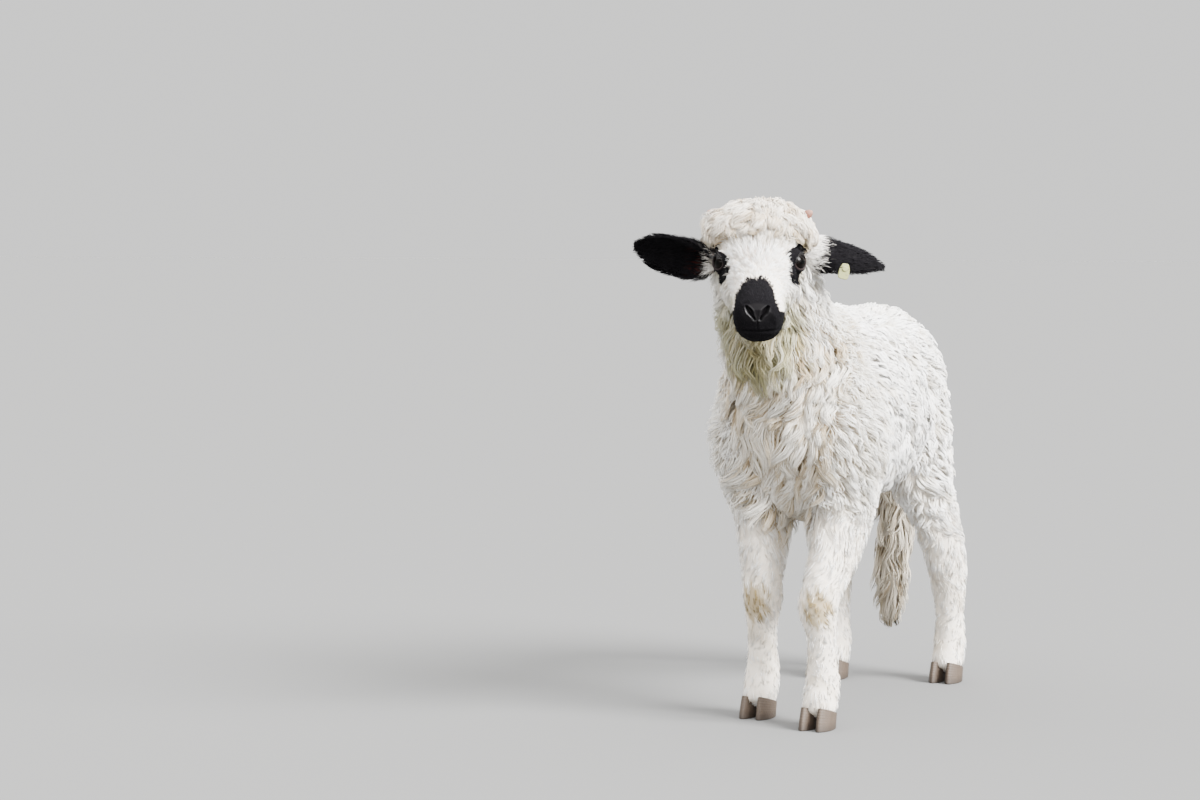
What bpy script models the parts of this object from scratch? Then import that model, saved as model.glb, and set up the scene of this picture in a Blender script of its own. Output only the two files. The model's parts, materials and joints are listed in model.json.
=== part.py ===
"""A Valais Blacknose lamb about two months old, life size, standing with its head turned to its left.

Metres, +Z up. The lamb faces -Y and its left side is +X. Shapes are placed from the middle of the
four feet, and every node is moved at the end so that the origin lies on the floor under the middle
of the whole lamb.
"""

import math
from collections import namedtuple

import bmesh
import bpy
import numpy as np
from mathutils import Matrix, Vector
from mathutils.bvhtree import BVHTree

# ---------------------------------------------------------------- driving sizes
GAP = 0.0003  # kept between nodes that touch
MODEL_ORIGIN = Vector((-0.0060, -0.0633, 0.0))  # the middle of the bounding box, from the feet's middle

HEM_HEIGHT = 0.234  # where the legs leave the body, level with the lowest fleece of the belly
KNEE_HEIGHT = 0.147
HOCK_HEIGHT = 0.176
CORONET_HEIGHT = 0.026  # where the hair ends and the hoof begins, at the front of the foot
CORONET_SLOPE = math.radians(16.0)  # down to the heel

FEET = {  # side of the body, how far out from the midline and how far back its cannon stands
    "fore_left": (+1, 0.049, -0.208),
    "fore_right": (-1, 0.050, -0.162),
    "hind_left": (+1, 0.064, 0.211),
    "hind_right": (-1, 0.086, 0.173),
}
SHOULDER = (0.052, -0.150)  # where the fore legs leave the body: outwards, and back
HIP = (0.042, 0.122)

EYE_LINE = Vector((0.012, -0.320, 0.5680))  # midway between the eyes
HEAD_TURN = math.radians(23.0)  # to the lamb's left
HEAD_DOWN = math.radians(25.0)  # the nose below level
EYE_RADIUS = 0.0125
EYE_APART = 0.0415  # each eyeball's centre from the midline of the head

# A section of a limb or the trunk: its middle, its half sizes across the body and along the
# other way, bare, and the depth of the coat on it.
Section = namedtuple("Section", "x y z wide deep coat")
# A section of a leg: the share of the way from the body's joint to the foot that it has come, how
# far it bends outwards and back from there, its height, half sizes and coat.
Joint = namedtuple("Joint", "share x y z wide deep coat")
# A section across the head: how far back it lies, its top and bottom, its half width, the height
# where it is widest, and how square its upper and lower halves are (2 is an ellipse).
Slice = namedtuple("Slice", "back top bottom half widest upper lower")

TRUNK = [
    Section(-0.001, -0.220, 0.366, 0.040, 0.052, 0.026),  # breast
    Section(-0.002, -0.196, 0.372, 0.067, 0.089, 0.026),
    Section(-0.002, -0.145, 0.380, 0.078, 0.109, 0.025),  # shoulder
    Section(-0.001, -0.085, 0.380, 0.076, 0.108, 0.025),
    Section(-0.002, -0.015, 0.381, 0.073, 0.106, 0.024),  # girth
    Section(-0.004, 0.050, 0.386, 0.071, 0.101, 0.024),
    Section(-0.007, 0.110, 0.392, 0.069, 0.095, 0.024),  # loin
    Section(-0.010, 0.160, 0.392, 0.062, 0.083, 0.024),  # croup
    Section(-0.012, 0.194, 0.390, 0.048, 0.068, 0.022),
    Section(-0.012, 0.210, 0.386, 0.026, 0.042, 0.020),  # rump
]
NECK = [
    Section(0.000, -0.095, 0.400, 0.066, 0.090, 0.026),
    Section(0.000, -0.160, 0.424, 0.060, 0.082, 0.026),
    Section(-0.003, -0.206, 0.462, 0.049, 0.064, 0.025),
    Section(-0.008, -0.236, 0.512, 0.043, 0.052, 0.024),
    Section(-0.009, -0.258, 0.560, 0.042, 0.048, 0.023),
    Section(-0.012, -0.262, 0.600, 0.034, 0.036, 0.018),  # behind the ears
]
FORE_LEG = [
    Joint(0.00, -0.012, 0.012, 0.430, 0.026, 0.050, 0.022),
    Joint(0.00, -0.002, -0.004, 0.385, 0.034, 0.052, 0.023),
    Joint(0.00, 0.004, -0.010, 0.345, 0.037, 0.048, 0.023),  # point of the shoulder
    Joint(0.00, 0.001, -0.002, 0.300, 0.033, 0.046, 0.017),
    Joint(0.10, 0.001, 0.002, 0.255, 0.029, 0.047, 0.008),  # elbow
    Joint(0.50, 0.001, 0.000, 0.207, 0.0255, 0.037, 0.005),
    Joint(0.90, 0.000, -0.002, 0.176, 0.0230, 0.0290, 0.002),
    Joint(1.00, -0.003, -0.006, KNEE_HEIGHT, 0.0235, 0.0260, 0.001),
    Joint(1.00, 0.000, -0.002, 0.114, 0.0180, 0.0200, 0.001),
    Joint(1.00, 0.000, 0.000, 0.084, 0.0172, 0.0190, 0.001),
    Joint(1.00, 0.000, 0.001, 0.052, 0.0205, 0.0225, 0.001),  # fetlock
    Joint(1.00, 0.000, -0.006, 0.034, 0.0205, 0.0230, 0.001),  # pastern
    Joint(1.00, 0.000, -0.010, 0.010, 0.0215, 0.0260, 0.001),
]
HIND_LEG = [
    Joint(0.00, -0.004, 0.000, 0.400, 0.032, 0.050, 0.018),
    Joint(0.15, -0.002, -0.010, 0.340, 0.031, 0.050, 0.018),  # thigh
    Joint(0.40, -0.002, -0.023, 0.285, 0.028, 0.046, 0.016),
    Joint(0.75, 0.000, -0.040, 0.245, 0.0250, 0.037, 0.009),
    Joint(0.92, 0.000, -0.037, 0.214, 0.0235, 0.035, 0.007),
    Joint(1.00, 0.000, -0.022, HOCK_HEIGHT, 0.0215, 0.0365, 0.005),
    Joint(1.00, 0.000, -0.008, 0.145, 0.0205, 0.0310, 0.004),
    Joint(1.00, 0.000, -0.002, 0.105, 0.0185, 0.0225, 0.001),
    Joint(1.00, 0.000, 0.000, 0.080, 0.0178, 0.0205, 0.001),
    Joint(1.00, 0.000, 0.001, 0.052, 0.0200, 0.0225, 0.001),  # fetlock
    Joint(1.00, 0.000, -0.006, 0.034, 0.0200, 0.0225, 0.001),  # pastern
    Joint(1.00, 0.000, -0.010, 0.010, 0.0210, 0.0255, 0.001),
]
TAIL = [
    Section(-0.008, 0.205, 0.432, 0.012, 0.012, 0.004),
    Section(-0.012, 0.238, 0.408, 0.015, 0.012, 0.006),
    Section(-0.020, 0.252, 0.350, 0.017, 0.012, 0.008),
    Section(-0.028, 0.256, 0.270, 0.018, 0.012, 0.009),
    Section(-0.034, 0.256, 0.190, 0.018, 0.011, 0.009),
    Section(-0.038, 0.255, 0.120, 0.015, 0.009, 0.008),
    Section(-0.039, 0.254, 0.074, 0.007, 0.006, 0.004),
]
HEAD = [
    Slice(0.088, 0.012, -0.030, 0.020, -0.010, 2.0, 2.0),
    Slice(0.078, 0.030, -0.052, 0.036, -0.012, 2.0, 2.0),
    Slice(0.056, 0.040, -0.070, 0.045, -0.012, 2.1, 2.0),
    Slice(0.028, 0.040, -0.075, 0.048, -0.010, 2.3, 1.9),
    Slice(0.000, 0.030, -0.071, 0.0475, -0.004, 2.2, 1.8),
    Slice(-0.026, 0.019, -0.066, 0.0385, -0.010, 2.1, 1.8),
    Slice(-0.052, 0.012, -0.060, 0.0315, -0.016, 2.1, 2.0),
    Slice(-0.078, 0.006, -0.058, 0.0300, -0.020, 2.2, 2.3),
    Slice(-0.096, -0.001, -0.056, 0.0285, -0.022, 2.3, 2.4),
    Slice(-0.106, -0.010, -0.048, 0.0210, -0.026, 2.2, 2.2),
]
NECK_BASE = (Vector((0, -0.160, 0.432)), Vector((0, -0.76, 0.65)))  # a point of the cut, and its way forward
HEAD_BACK = (Vector((0, 0.062, -0.018)), Vector((0, -0.95, 0.31)))  # the same, in the head's own frame
# Wool in front of the head's back belongs to the head above this plane, and to the neck below it.
CHEEK_LEVEL = (Vector((0, 0, -0.034)), Vector((0, 0, 1)))

SHORT_COAT = 0.006  # hair up to this depth is solid; in a coat twice as deep the core goes half way out
CLUMP_SPACING = 0.044
LOCK_SPACING = 0.034
LOCK_LENGTH = 0.078
LOCK_FRONT = -0.150  # locks hang in front of this, clumps lie behind it
LEAST_COAT = 0.0045  # above the core, where the coat gets clumps at all
SINK = 0.006  # how deep a root goes into its core
THINNING = 0.40  # the share of a fleece's triangles kept after its union
HAIR_THINNING = 0.55  # the same for legs and crown
CLUMP_FORM = [(-SINK, 1.0, 0.0), (0.48, 0.90, 0.06), (0.86, 0.58, 0.18)]  # level, size, lean of its rings
LOCK_FORM = [  # share of its length, level, width and thickness
    (0.00, -SINK, 0.80, 0.90), (0.25, 0.45, 1.00, 1.00), (0.52, 0.75, 0.92, 0.85), (0.78, 0.95, 0.58, 0.60),
    (1.00, 1.15, 0.00, 0.00)]
FRINGE_LEVELS = {"fore": (0.168, 0.232), "hind": (0.150, 0.215)}  # the fringe behind forearm and hock
FRINGE_LENGTH, FRINGE_RISE, FRINGE_WIDTH = 0.030, 0.0045, 0.014
TAIL_SPACING, TAIL_LENGTH, TAIL_WIDTH = 0.032, 0.060, 0.027  # of the tail's locks
TAIL_BARE = 0.36  # above this level the tail has no locks

CROWN_AT, CROWN_SIZE = Vector((0, 0.042, 0.011)), Vector((0.060, 0.050, 0.038))
CROWN_SPACING = 0.0245
CROWN_DEPTH = 0.0125
LID_OPEN, LID_TALL = math.radians(50), math.radians(38)  # half angles of the eye's opening
LID_THICK = 0.0022
EYE_WAY = Vector((0.90, -0.40, 0.12)).normalized()  # the way the left eye looks
NOSTRIL = Vector((0.0088, -0.1045, -0.0135))
NOSTRIL_SIZE = Vector((0.0023, 0.0085, 0.0090))
NOSTRIL_TILT = math.radians(42)
MOUTH_FRONT, MOUTH_CORNER = Vector((0, -0.106, -0.0360)), Vector((0, -0.060, -0.0415))
MOUTH_THICK = 0.0014
LIP_DEPTH = 0.91  # share of the muzzle's half width that the mouth's groove leaves

EAR_LENGTH = 0.114  # with the root that lies in the head
EAR_WALL = 0.0040
EAR_PLUG = 0.22  # the share of the length in which the cup closes to a solid root
EAR_STATIONS = 10
EAR_SPAN = 9  # points across the blade
EAR_WIDTH = [0.011, 0.013, 0.020, 0.0260, 0.0265, 0.0220, 0.014, 0.004]  # half widths, root to tip
EAR_CURL = [160, 140, 95, 68, 52, 42, 34, 28]  # half angle of the cup, in degrees, root to tip
EARS = {  # side of the head, root, how far the tip is raised, and how far the cup is turned about the blade
    "left": (+1, Vector((0.036, 0.045, 0.010)), math.radians(-15), math.radians(203)),
    "right": (-1, Vector((-0.036, 0.045, -0.015)), math.radians(12), math.radians(-100)),
}
EAR_BEND = {"left": 0.0103, "right": 0.0}  # how far the tip droops towards the cup's opening
BUD_ROOT = Vector((0.034, 0.046, 0.022))  # of the left horn bud, inside the head
BUD_WAY = Vector((0.74, 0.10, 0.56)).normalized()
BUD_RADIUS = 0.0070
BUD_LENGTH = 0.036

TAG_WIDTH = 0.0130
TAG_LENGTH = 0.0190
TAG_THICKNESS = 0.0020
TAG_STEM = 0.0016  # radius of the pin through the ear
TAG_BUTTON = 0.0050  # radius of its round back
TAG_SHARE = 0.63  # of the ear's length
TAG_ANGLE = math.radians(33)  # round the blade, towards its front edge

BODY_SIDES = 26
LIMB_SIDES = 14
LIMB_STATIONS = 20
TAIL_SIDES = 12
TAIL_STATIONS = 13
HEAD_SIDES = 28
HEAD_STATIONS = 24

FINISHES = {  # colour and roughness; nothing on a lamb is metallic
    "white_wool": ((0.80, 0.76, 0.68), 0.90),
    "white_hair": ((0.80, 0.72, 0.64), 0.80),
    "face_hair": ((0.78, 0.72, 0.66), 0.80),
    "ear_hair": ((0.025, 0.022, 0.022), 0.75),
    "grey_wool": ((0.42, 0.36, 0.29), 0.90),
    "eye": ((0.010, 0.008, 0.007), 0.10),
    "horn": ((0.55, 0.42, 0.33), 0.55),
    "hoof": ((0.20, 0.15, 0.11), 0.60),
    "tag": ((0.72, 0.74, 0.38), 0.40),
}


# ---------------------------------------------------------------- small tools
def clear_scene():
    """Start from an empty file."""
    for item in list(bpy.data.objects):
        bpy.data.objects.remove(item, do_unlink=True)


def finish(name):
    """The material of one finish."""
    material = bpy.data.materials.get(name)
    if material is None:
        colour, roughness = FINISHES[name]
        material = bpy.data.materials.new(name)
        material.use_nodes = True
        shader = material.node_tree.nodes["Principled BSDF"]
        shader.inputs["Base Color"].default_value = (*colour, 1.0)
        shader.inputs["Roughness"].default_value = roughness
        shader.inputs["Metallic"].default_value = 0.0
    return material


def solid(name, points, faces, place=None):
    """An object from points and faces, with its faces turned outwards."""
    mesh = bpy.data.meshes.new(name)
    mesh.from_pydata([tuple(point) for point in points], [], faces)
    work = bmesh.new()
    work.from_mesh(mesh)
    if place is not None:
        work.transform(place)
    bmesh.ops.recalc_face_normals(work, faces=work.faces)
    if work.calc_volume(signed=True) < 0:
        bmesh.ops.reverse_faces(work, faces=work.faces)
    bmesh.ops.triangulate(work, faces=work.faces)
    work.to_mesh(mesh)
    work.free()
    item = bpy.data.objects.new(name, mesh)
    bpy.context.scene.collection.objects.link(item)
    return item


def drop(*items):
    """Remove helper objects."""
    for item in items:
        bpy.data.objects.remove(item, do_unlink=True)


def apply_modifiers(item):
    """Keep an object's shape as its modifiers leave it."""
    bpy.context.view_layer.update()
    evaluated = item.evaluated_get(bpy.context.evaluated_depsgraph_get())
    mesh = bpy.data.meshes.new_from_object(evaluated)
    item.modifiers.clear()
    item.data = mesh


def join(target, others):
    """Union a collection of closed pieces with the target, in one Boolean, and remove the pieces."""
    group = bpy.data.collections.new("pieces")
    for other in others:
        group.objects.link(other)
    union = target.modifiers.new("join", "BOOLEAN")
    union.operation = "UNION"
    union.operand_type = "COLLECTION"
    union.collection = group
    union.solver = "MANIFOLD"
    apply_modifiers(target)
    drop(*others)
    bpy.data.collections.remove(group)
    return target


def cut(target, cutter, keep_inside=False):
    """Take a cutter away from the target, or keep only what is inside it; the cutter is removed."""
    tool = target.modifiers.new("cut", "BOOLEAN")
    tool.operation = "INTERSECT" if keep_inside else "DIFFERENCE"
    tool.object = cutter
    tool.solver = "MANIFOLD"
    apply_modifiers(target)
    drop(cutter)
    return target


def is_closed(item):
    """Whether every edge of an object's mesh has just two faces."""
    work = bmesh.new()
    work.from_mesh(item.data)
    closed = all(edge.is_manifold for edge in work.edges)
    work.free()
    return closed


def thin(item, share):
    """Merge the slivers that a union leaves, down to a share of the triangles; keep more if a hole opens."""
    whole = item.data
    while share < 1:
        item.data = whole.copy()
        reduce = item.modifiers.new("thin", "DECIMATE")
        reduce.ratio = share
        apply_modifiers(item)
        if is_closed(item):
            return item
        share += 0.04
    item.data = whole
    return item


def half_space(point, normal, gap=0.5 * GAP):
    """A big box behind a plane: it takes away all that lies on the side away from the normal."""
    size = 2.0
    across = normal.normalized().to_track_quat("Z", "Y").to_matrix().to_4x4()
    centre = point + normal.normalized() * (gap - size / 2)
    corners = [(x, y, z) for z in (-1, 1) for y in (-1, 1) for x in (-1, 1)]
    faces = [(0, 1, 3, 2), (4, 6, 7, 5), (0, 4, 5, 1), (2, 3, 7, 6), (0, 2, 6, 4), (1, 5, 7, 3)]
    place = Matrix.Translation(centre) @ across @ Matrix.Scale(size / 2, 4)
    return solid("half_space", corners, faces, place)


def keep_in_front(target, plane, place=Matrix.Identity(4)):
    """Keep the part of the target that lies on the side of a plane its normal points to."""
    point, normal = plane
    return cut(target, half_space(place @ point, place.to_3x3() @ normal))


def keep_behind(target, plane, place=Matrix.Identity(4)):
    """Keep the part of the target that lies on the other side of a plane."""
    point, normal = plane
    return cut(target, half_space(place @ point, -(place.to_3x3() @ normal)))


def largest(item):
    """Keep only an object's largest closed surface."""
    work = bmesh.new()
    work.from_mesh(item.data)
    left = set(work.verts)
    shells = []
    while left:
        shell, edge = set(), [left.pop()]
        while edge:
            vert = edge.pop()
            shell.add(vert)
            for link in vert.link_edges:
                other = link.other_vert(vert)
                if other in left:
                    left.remove(other)
                    edge.append(other)
        shells.append(shell)
    shells.sort(key=len)
    for shell in shells[:-1]:
        bmesh.ops.delete(work, geom=list(shell), context="VERTS")
    work.to_mesh(item.data)
    work.free()
    return item


def node(item, name, material):
    """Name a finished sub-part, give it its material and shade it smooth."""
    largest(item)
    item.name = name
    item.data.name = name
    item.data.materials.clear()
    item.data.materials.append(finish(material))
    item.data.shade_smooth()
    item.data.set_sharp_from_angle(angle=math.radians(50))
    return item


# ---------------------------------------------------------------- lofts
def along(table, count):
    """Rows spaced evenly along a smooth curve through the rows of a table."""
    table = np.array(table, float)
    where = np.linspace(0, len(table) - 1, count)
    low = np.clip(where.astype(int), 0, len(table) - 2)
    t = (where - low)[:, None]
    a, b = table[np.maximum(low - 1, 0)], table[low]
    c, d = table[low + 1], table[np.minimum(low + 2, len(table) - 1)]
    return b + 0.5 * t * (c - a + t * (2 * a - 5 * b + 4 * c - d + t * (3 * (b - c) + d - a)))


def loft(name, rings, ends, place=None):
    """A closed solid through rings of equally many points, with a pole at each end."""
    count, sides = rings.shape[:2]
    points = [ends[0], *rings.reshape(-1, 3), ends[1]]
    last = len(points) - 1
    faces = []
    for side in range(sides):
        turn = (side + 1) % sides
        faces.append((0, 1 + turn, 1 + side))
        for ring in range(count - 1):
            low = 1 + ring * sides
            faces.append((low + side, low + turn, low + sides + turn, low + sides + side))
        top = 1 + (count - 1) * sides
        faces.append((top + side, top + turn, last))
    return solid(name, points, faces, place)


def core_depth(coat):
    """How far the solid core reaches into a coat: all of it where the hair is short, half in the fleece."""
    woolly = np.clip((coat - SHORT_COAT) / SHORT_COAT, 0, 1)
    return coat * (1 - 0.5 * woolly)


def tube(name, sections, sides, count, core=False, fat=0.0):
    """A limb or trunk through its sections, out to the tips of its coat or only to its core, or fattened."""
    rows = along(sections, count)
    middles = rows[:, :3]
    ways = np.gradient(middles, axis=0)
    ways /= np.linalg.norm(ways, axis=1)[:, None]
    across = np.array([1.0, 0, 0]) - ways * ways[:, :1]
    across /= np.linalg.norm(across, axis=1)[:, None]
    other = np.cross(ways, across)
    angle = np.linspace(0, 2 * math.pi, sides, endpoint=False)[None, :, None]
    coat = (core_depth(rows[:, 5]) if core else rows[:, 5]) + fat
    wide = (rows[:, 3] + coat)[:, None, None]
    deep = (rows[:, 4] + coat)[:, None, None]
    rings = middles[:, None] + across[:, None] * wide * np.cos(angle) + other[:, None] * deep * np.sin(angle)
    reach = (0.5 * np.minimum(rows[:, 3], rows[:, 4]) + coat)[:, None]
    ends = (middles[0] - ways[0] * reach[0], middles[-1] + ways[-1] * reach[-1])
    return loft(name, rings, ends)


def head_ring(row, angles, narrow):
    """Points round the head on one slice; the angle starts at the left side and rises."""
    back, top, bottom, half, widest, upper, lower = row
    cosine, sine = np.cos(angles), np.sin(angles)
    power = np.where(sine > 0, 2 / upper, 2 / lower)
    height = np.where(sine > 0, top - widest, widest - bottom)
    x = half * narrow * np.sign(cosine) * np.abs(cosine) ** power
    z = widest + height * narrow * np.sign(sine) * np.abs(sine) ** power
    return np.stack([x, np.full_like(x, back), z], axis=-1)


# ---------------------------------------------------------------- the fleece
def tree_of(item):
    """A search tree over an object's faces."""
    work = bmesh.new()
    work.from_mesh(item.data)
    tree = BVHTree.FromBMesh(work)
    work.free()
    return tree


def scatter(item, spacing, seed, wanted):
    """Spots spread over an object's surface, a spacing apart, each with the way out of it."""
    item.data.calc_loop_triangles()
    points, triangles = item.data.vertices, item.data.loop_triangles
    corners = np.array([[points[i].co for i in face.vertices] for face in triangles])
    normals = np.array([[points[i].normal for i in face.vertices] for face in triangles])
    area = np.linalg.norm(np.cross(corners[:, 1] - corners[:, 0], corners[:, 2] - corners[:, 0]), axis=1)
    rng = np.random.default_rng(seed)
    count = int(20 * area.sum() / spacing ** 2)
    faces = rng.choice(len(area), count, p=area / area.sum())
    weights = rng.dirichlet((1, 1, 1), count)[:, :, None]
    spots, ways = (corners[faces] * weights).sum(axis=1), (normals[faces] * weights).sum(axis=1)
    kept = np.empty((0, 3))
    for spot, way in zip(spots, ways):
        if len(kept) and np.linalg.norm(kept - spot, axis=1).min() < spacing:
            continue
        if wanted(spot, way):
            kept = np.vstack([kept, spot])
            yield Vector(spot), Vector(way).normalized()


def clump(spot, way, lie, radius, height, rng):
    """A rounded curl: six-sided, widest at its foot, its top leaning along the coat's lie."""
    lie = (lie - way * lie.dot(way)).normalized()
    across = np.array(way.cross(lie))
    way, lie, spot = np.array(way), np.array(lie), np.array(spot)
    angle = rng.uniform(0, math.pi) + np.linspace(0, 2 * math.pi, 6, endpoint=False)[:, None]
    uneven = radius * rng.uniform(0.88, 1.12, 6)[:, None]
    rings = []
    for level, size, lean in CLUMP_FORM:
        rings.append(spot + way * (level if level < 0 else level * height) + radius * lean * lie
                     + uneven * size * (1.06 * lie * np.cos(angle) + 0.96 * across * np.sin(angle)))
    ends = spot - way * SINK, spot + way * height + lie * 0.25 * radius
    return loft("clump", np.array(rings), ends)


def lock(tree, spot, way, lie, length, rise, width, rng):
    """A flat, tapered lock that follows the surface it lies on, bends, and lifts towards its tip."""
    sway = rng.uniform(-1, 1)
    thick = 0.42 * width
    here, out = Vector(spot), Vector(way)
    rings, travelled = [], 0.0
    for share, level, wide, deep in LOCK_FORM:
        run = (lie - out * lie.dot(out)).normalized()
        side = out.cross(run)
        step = length * share - travelled
        travelled = length * share
        if step > 0:
            bend = side * sway * 0.35 * math.cos(math.pi * share)
            found = tree.find_nearest(here + (run + bend).normalized() * step)
            here, out = found[0], (out + found[1]).normalized()
            run = (lie - out * lie.dot(out)).normalized()
            side = out.cross(run)
        middle = here + out * (level if level < 0 else level * rise)
        if wide == 0:
            tip = middle
            continue
        rings.append([middle + side * width / 2 * wide, middle + out * thick / 2 * deep,
                      middle - side * width / 2 * wide, middle - out * thick * deep])
    root = (Vector(rings[0][0]) + Vector(rings[0][2])) / 2 - Vector(way) * 0.001
    return loft("lock", np.array(rings), (root, tip))


# ---------------------------------------------------------------- the body
def head_pose():
    """Where the head's own frame lies: it faces -Y there, with the eye line at its origin."""
    turn = Matrix.Rotation(HEAD_TURN, 4, "Z") @ Matrix.Rotation(HEAD_DOWN, 4, "X")
    return Matrix.Translation(EYE_LINE) @ turn


def leg_sections(foot):
    """The sections of one leg, from the body's inside down into the foot."""
    side, track, back = FEET[foot]
    limb, (out, start) = (FORE_LEG, SHOULDER) if foot.startswith("fore") else (HIND_LEG, HIP)
    sections = []
    for row in limb:
        x = side * (out + row.share * (track - out) + row.x)
        y = start + row.share * (back - start) + row.y
        sections.append(Section(x, y, row.z, row.wide, row.deep, row.coat))
    return sections


def hem():
    """The level plane where the legs leave the body."""
    return Vector((0, 0, HEM_HEIGHT)), Vector((0, 0, 1))


def whole_body(core):
    """Trunk, neck and legs as one form, out to the tips of the coat or only to its core."""
    body = tube("body", TRUNK, BODY_SIDES, 15, core)
    others = [tube("leg", leg_sections(foot), LIMB_SIDES, LIMB_STATIONS, core) for foot in FEET]
    others.append(tube("neck", NECK, BODY_SIDES, 9, core))
    return join(body, others)


def copy_of(item):
    """A second object with its own mesh."""
    twin = item.copy()
    twin.data = item.data.copy()
    bpy.context.scene.collection.objects.link(twin)
    return twin


def coronet(foot):
    """The sloping plane between a leg and its hoof."""
    front = Vector((0, FEET[foot][2] - 0.035, CORONET_HEIGHT))
    return front, Vector((0, math.sin(CORONET_SLOPE), math.cos(CORONET_SLOPE)))


def dressed_body():
    """The whole body's core with its fleece: clumps on barrel, rump and crest, locks on neck and chest."""
    core, full = whole_body(core=True), whole_body(core=False)
    core_tree, full_tree = tree_of(core), tree_of(full)
    rng = np.random.default_rng(11)
    pieces = []

    def coat_at(spot, way):
        """How far the full coat stands above a spot of the core."""
        hit = full_tree.ray_cast(Vector(spot), Vector(way), 0.05)
        return 0.0 if hit[3] is None else hit[3]

    def fleecy(spot, way):
        return spot[2] > HEM_HEIGHT + 0.004 and coat_at(spot, way) > LEAST_COAT

    for spot, way in scatter(core, LOCK_SPACING, 21, lambda s, w: s[1] < LOCK_FRONT and fleecy(s, w)):
        chest = np.clip((0.40 - spot[2]) / 0.10, 0, 1)
        lie = Vector((0.10 * rng.normal(), 0.30 - 0.25 * chest, -1.0))
        length = LOCK_LENGTH * rng.uniform(0.85, 1.2)
        pieces.append(lock(core_tree, spot, way, lie, length, coat_at(spot, way) * rng.uniform(0.9, 1.25),
                           LOCK_SPACING * rng.uniform(0.95, 1.2), rng))
    for spot, way in scatter(core, CLUMP_SPACING, 22, lambda s, w: s[1] >= LOCK_FRONT and fleecy(s, w)):
        pieces.append(clump(spot, way, Vector((0, 1.0, -0.7)), CLUMP_SPACING * rng.uniform(0.70, 0.80),
                            coat_at(spot, way) * rng.uniform(0.95, 1.25), rng))
    drop(full)
    join(core, pieces)
    keep_in_front(core, hem())
    return thin(core, THINNING)


def make_torso(body):
    """Breast, barrel and rump with the shoulders and thighs, down to the hem."""
    torso = copy_of(body)
    keep_behind(torso, NECK_BASE)
    roomy = [row._replace(coat=row.coat + (0.004 if row.z < 0.40 else 0)) for row in TAIL]
    cut(torso, tube("tail_room", roomy, TAIL_SIDES, TAIL_STATIONS, fat=2 * GAP))
    return node(torso, "torso", "white_wool")


def make_neck(body):
    """From the withers up to the back of the head, round the cheeks and the throat."""
    neck = copy_of(body)
    keep_in_front(neck, NECK_BASE)
    room = half_space(head_pose() @ HEAD_BACK[0], -(head_pose().to_3x3() @ HEAD_BACK[1]))
    keep_in_front(room, CHEEK_LEVEL, head_pose())
    head = bare_head(fat=GAP)
    head.data.transform(head_pose())
    cut(neck, join(room, [head]))
    for side in EARS:
        cut(neck, ear_room(side))
    return node(neck, "neck", "white_wool")


def make_leg(foot):
    """One leg from the hem to the coronet, with the fringe of hair behind forearm or hock."""
    leg = tube("leg", leg_sections(foot), LIMB_SIDES, LIMB_STATIONS)
    tree = tree_of(leg)
    rng = np.random.default_rng(31)
    low, high = FRINGE_LEVELS[foot[:4]]
    rows = along(leg_sections(foot), 200)
    pieces = []
    for level in np.linspace(high, low, 5):
        row = rows[np.argmin(np.abs(rows[:, 2] - level))]
        for lean in (-0.35, 0.35):
            start = Vector((row[0] + lean * row[3], row[1] + 2 * row[4], level + rng.uniform(-0.004, 0.004)))
            spot, way = tree.find_nearest(start)[:2]
            lie = Vector((0.2 * lean, 0.4, -1.0))
            rise = FRINGE_RISE * rng.uniform(0.8, 1.2)
            pieces.append(lock(tree, spot, way, lie, FRINGE_LENGTH, rise, FRINGE_WIDTH, rng))
    thin(join(leg, pieces), HAIR_THINNING)
    keep_behind(leg, hem())
    keep_in_front(leg, coronet(foot))
    return node(leg, "leg_" + foot, "white_hair")


def make_claws(foot):
    """The two claws of one cloven hoof, each on its own flat sole."""
    side, track, back = FEET[foot]
    for claw, name in ((-1, "inner"), (1, "outer")):
        middle = side * (track + claw * 0.0108)
        angle = np.linspace(0, 2 * math.pi, 10, endpoint=False)
        rings = []
        for level, shrink, lean in ((0.0, 1.0, -0.004), (0.012, 0.97, -0.002), (0.045, 0.86, 0.006)):
            x = middle + 0.0103 * shrink * np.cos(angle)
            y = back - 0.013 + lean + 0.0245 * shrink * np.sin(angle)
            rings.append(np.stack([x, y, np.full_like(x, level)], axis=-1))
        rings = np.array(rings)
        ends = rings[0].mean(axis=0), rings[-1].mean(axis=0)
        hoof = loft("hoof", rings, ends)
        keep_behind(hoof, coronet(foot))
        node(hoof, "hoof_" + foot + "_" + name, "hoof")


def make_tail():
    """The woolly tail, hanging behind the legs."""
    core = tube("tail", TAIL, TAIL_SIDES, TAIL_STATIONS, core=True)
    tree = tree_of(core)
    rng = np.random.default_rng(41)
    pieces = []
    for spot, way in scatter(core, TAIL_SPACING, 43, lambda s, w: s[2] < TAIL_BARE):
        depth = np.clip(0.2 * (0.38 - spot[2]), 0.003, 0.005)
        lie = Vector((-0.05, 0.0, -1.0))
        pieces.append(lock(tree, spot, way, lie, TAIL_LENGTH * rng.uniform(0.8, 1.15), depth, TAIL_WIDTH, rng))
    return node(join(core, pieces), "tail", "grey_wool")


def bare_head(narrow=1.0, fat=0.0):
    """The head with its short hair, in its own frame, or a narrower or fattened copy of it."""
    angles = np.linspace(0, 2 * math.pi, HEAD_SIDES, endpoint=False)
    rows = along(HEAD, HEAD_STATIONS)
    rows[:, 1:4] += np.array([fat, -fat, fat])
    rings = np.array([head_ring(row, angles, narrow) for row in rows])
    ends = (Vector((0, rows[0][0] + 0.006 + fat, -0.010)), Vector((0, rows[-1][0] - 0.004 - fat, -0.030)))
    return loft("head", rings, ends)


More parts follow.
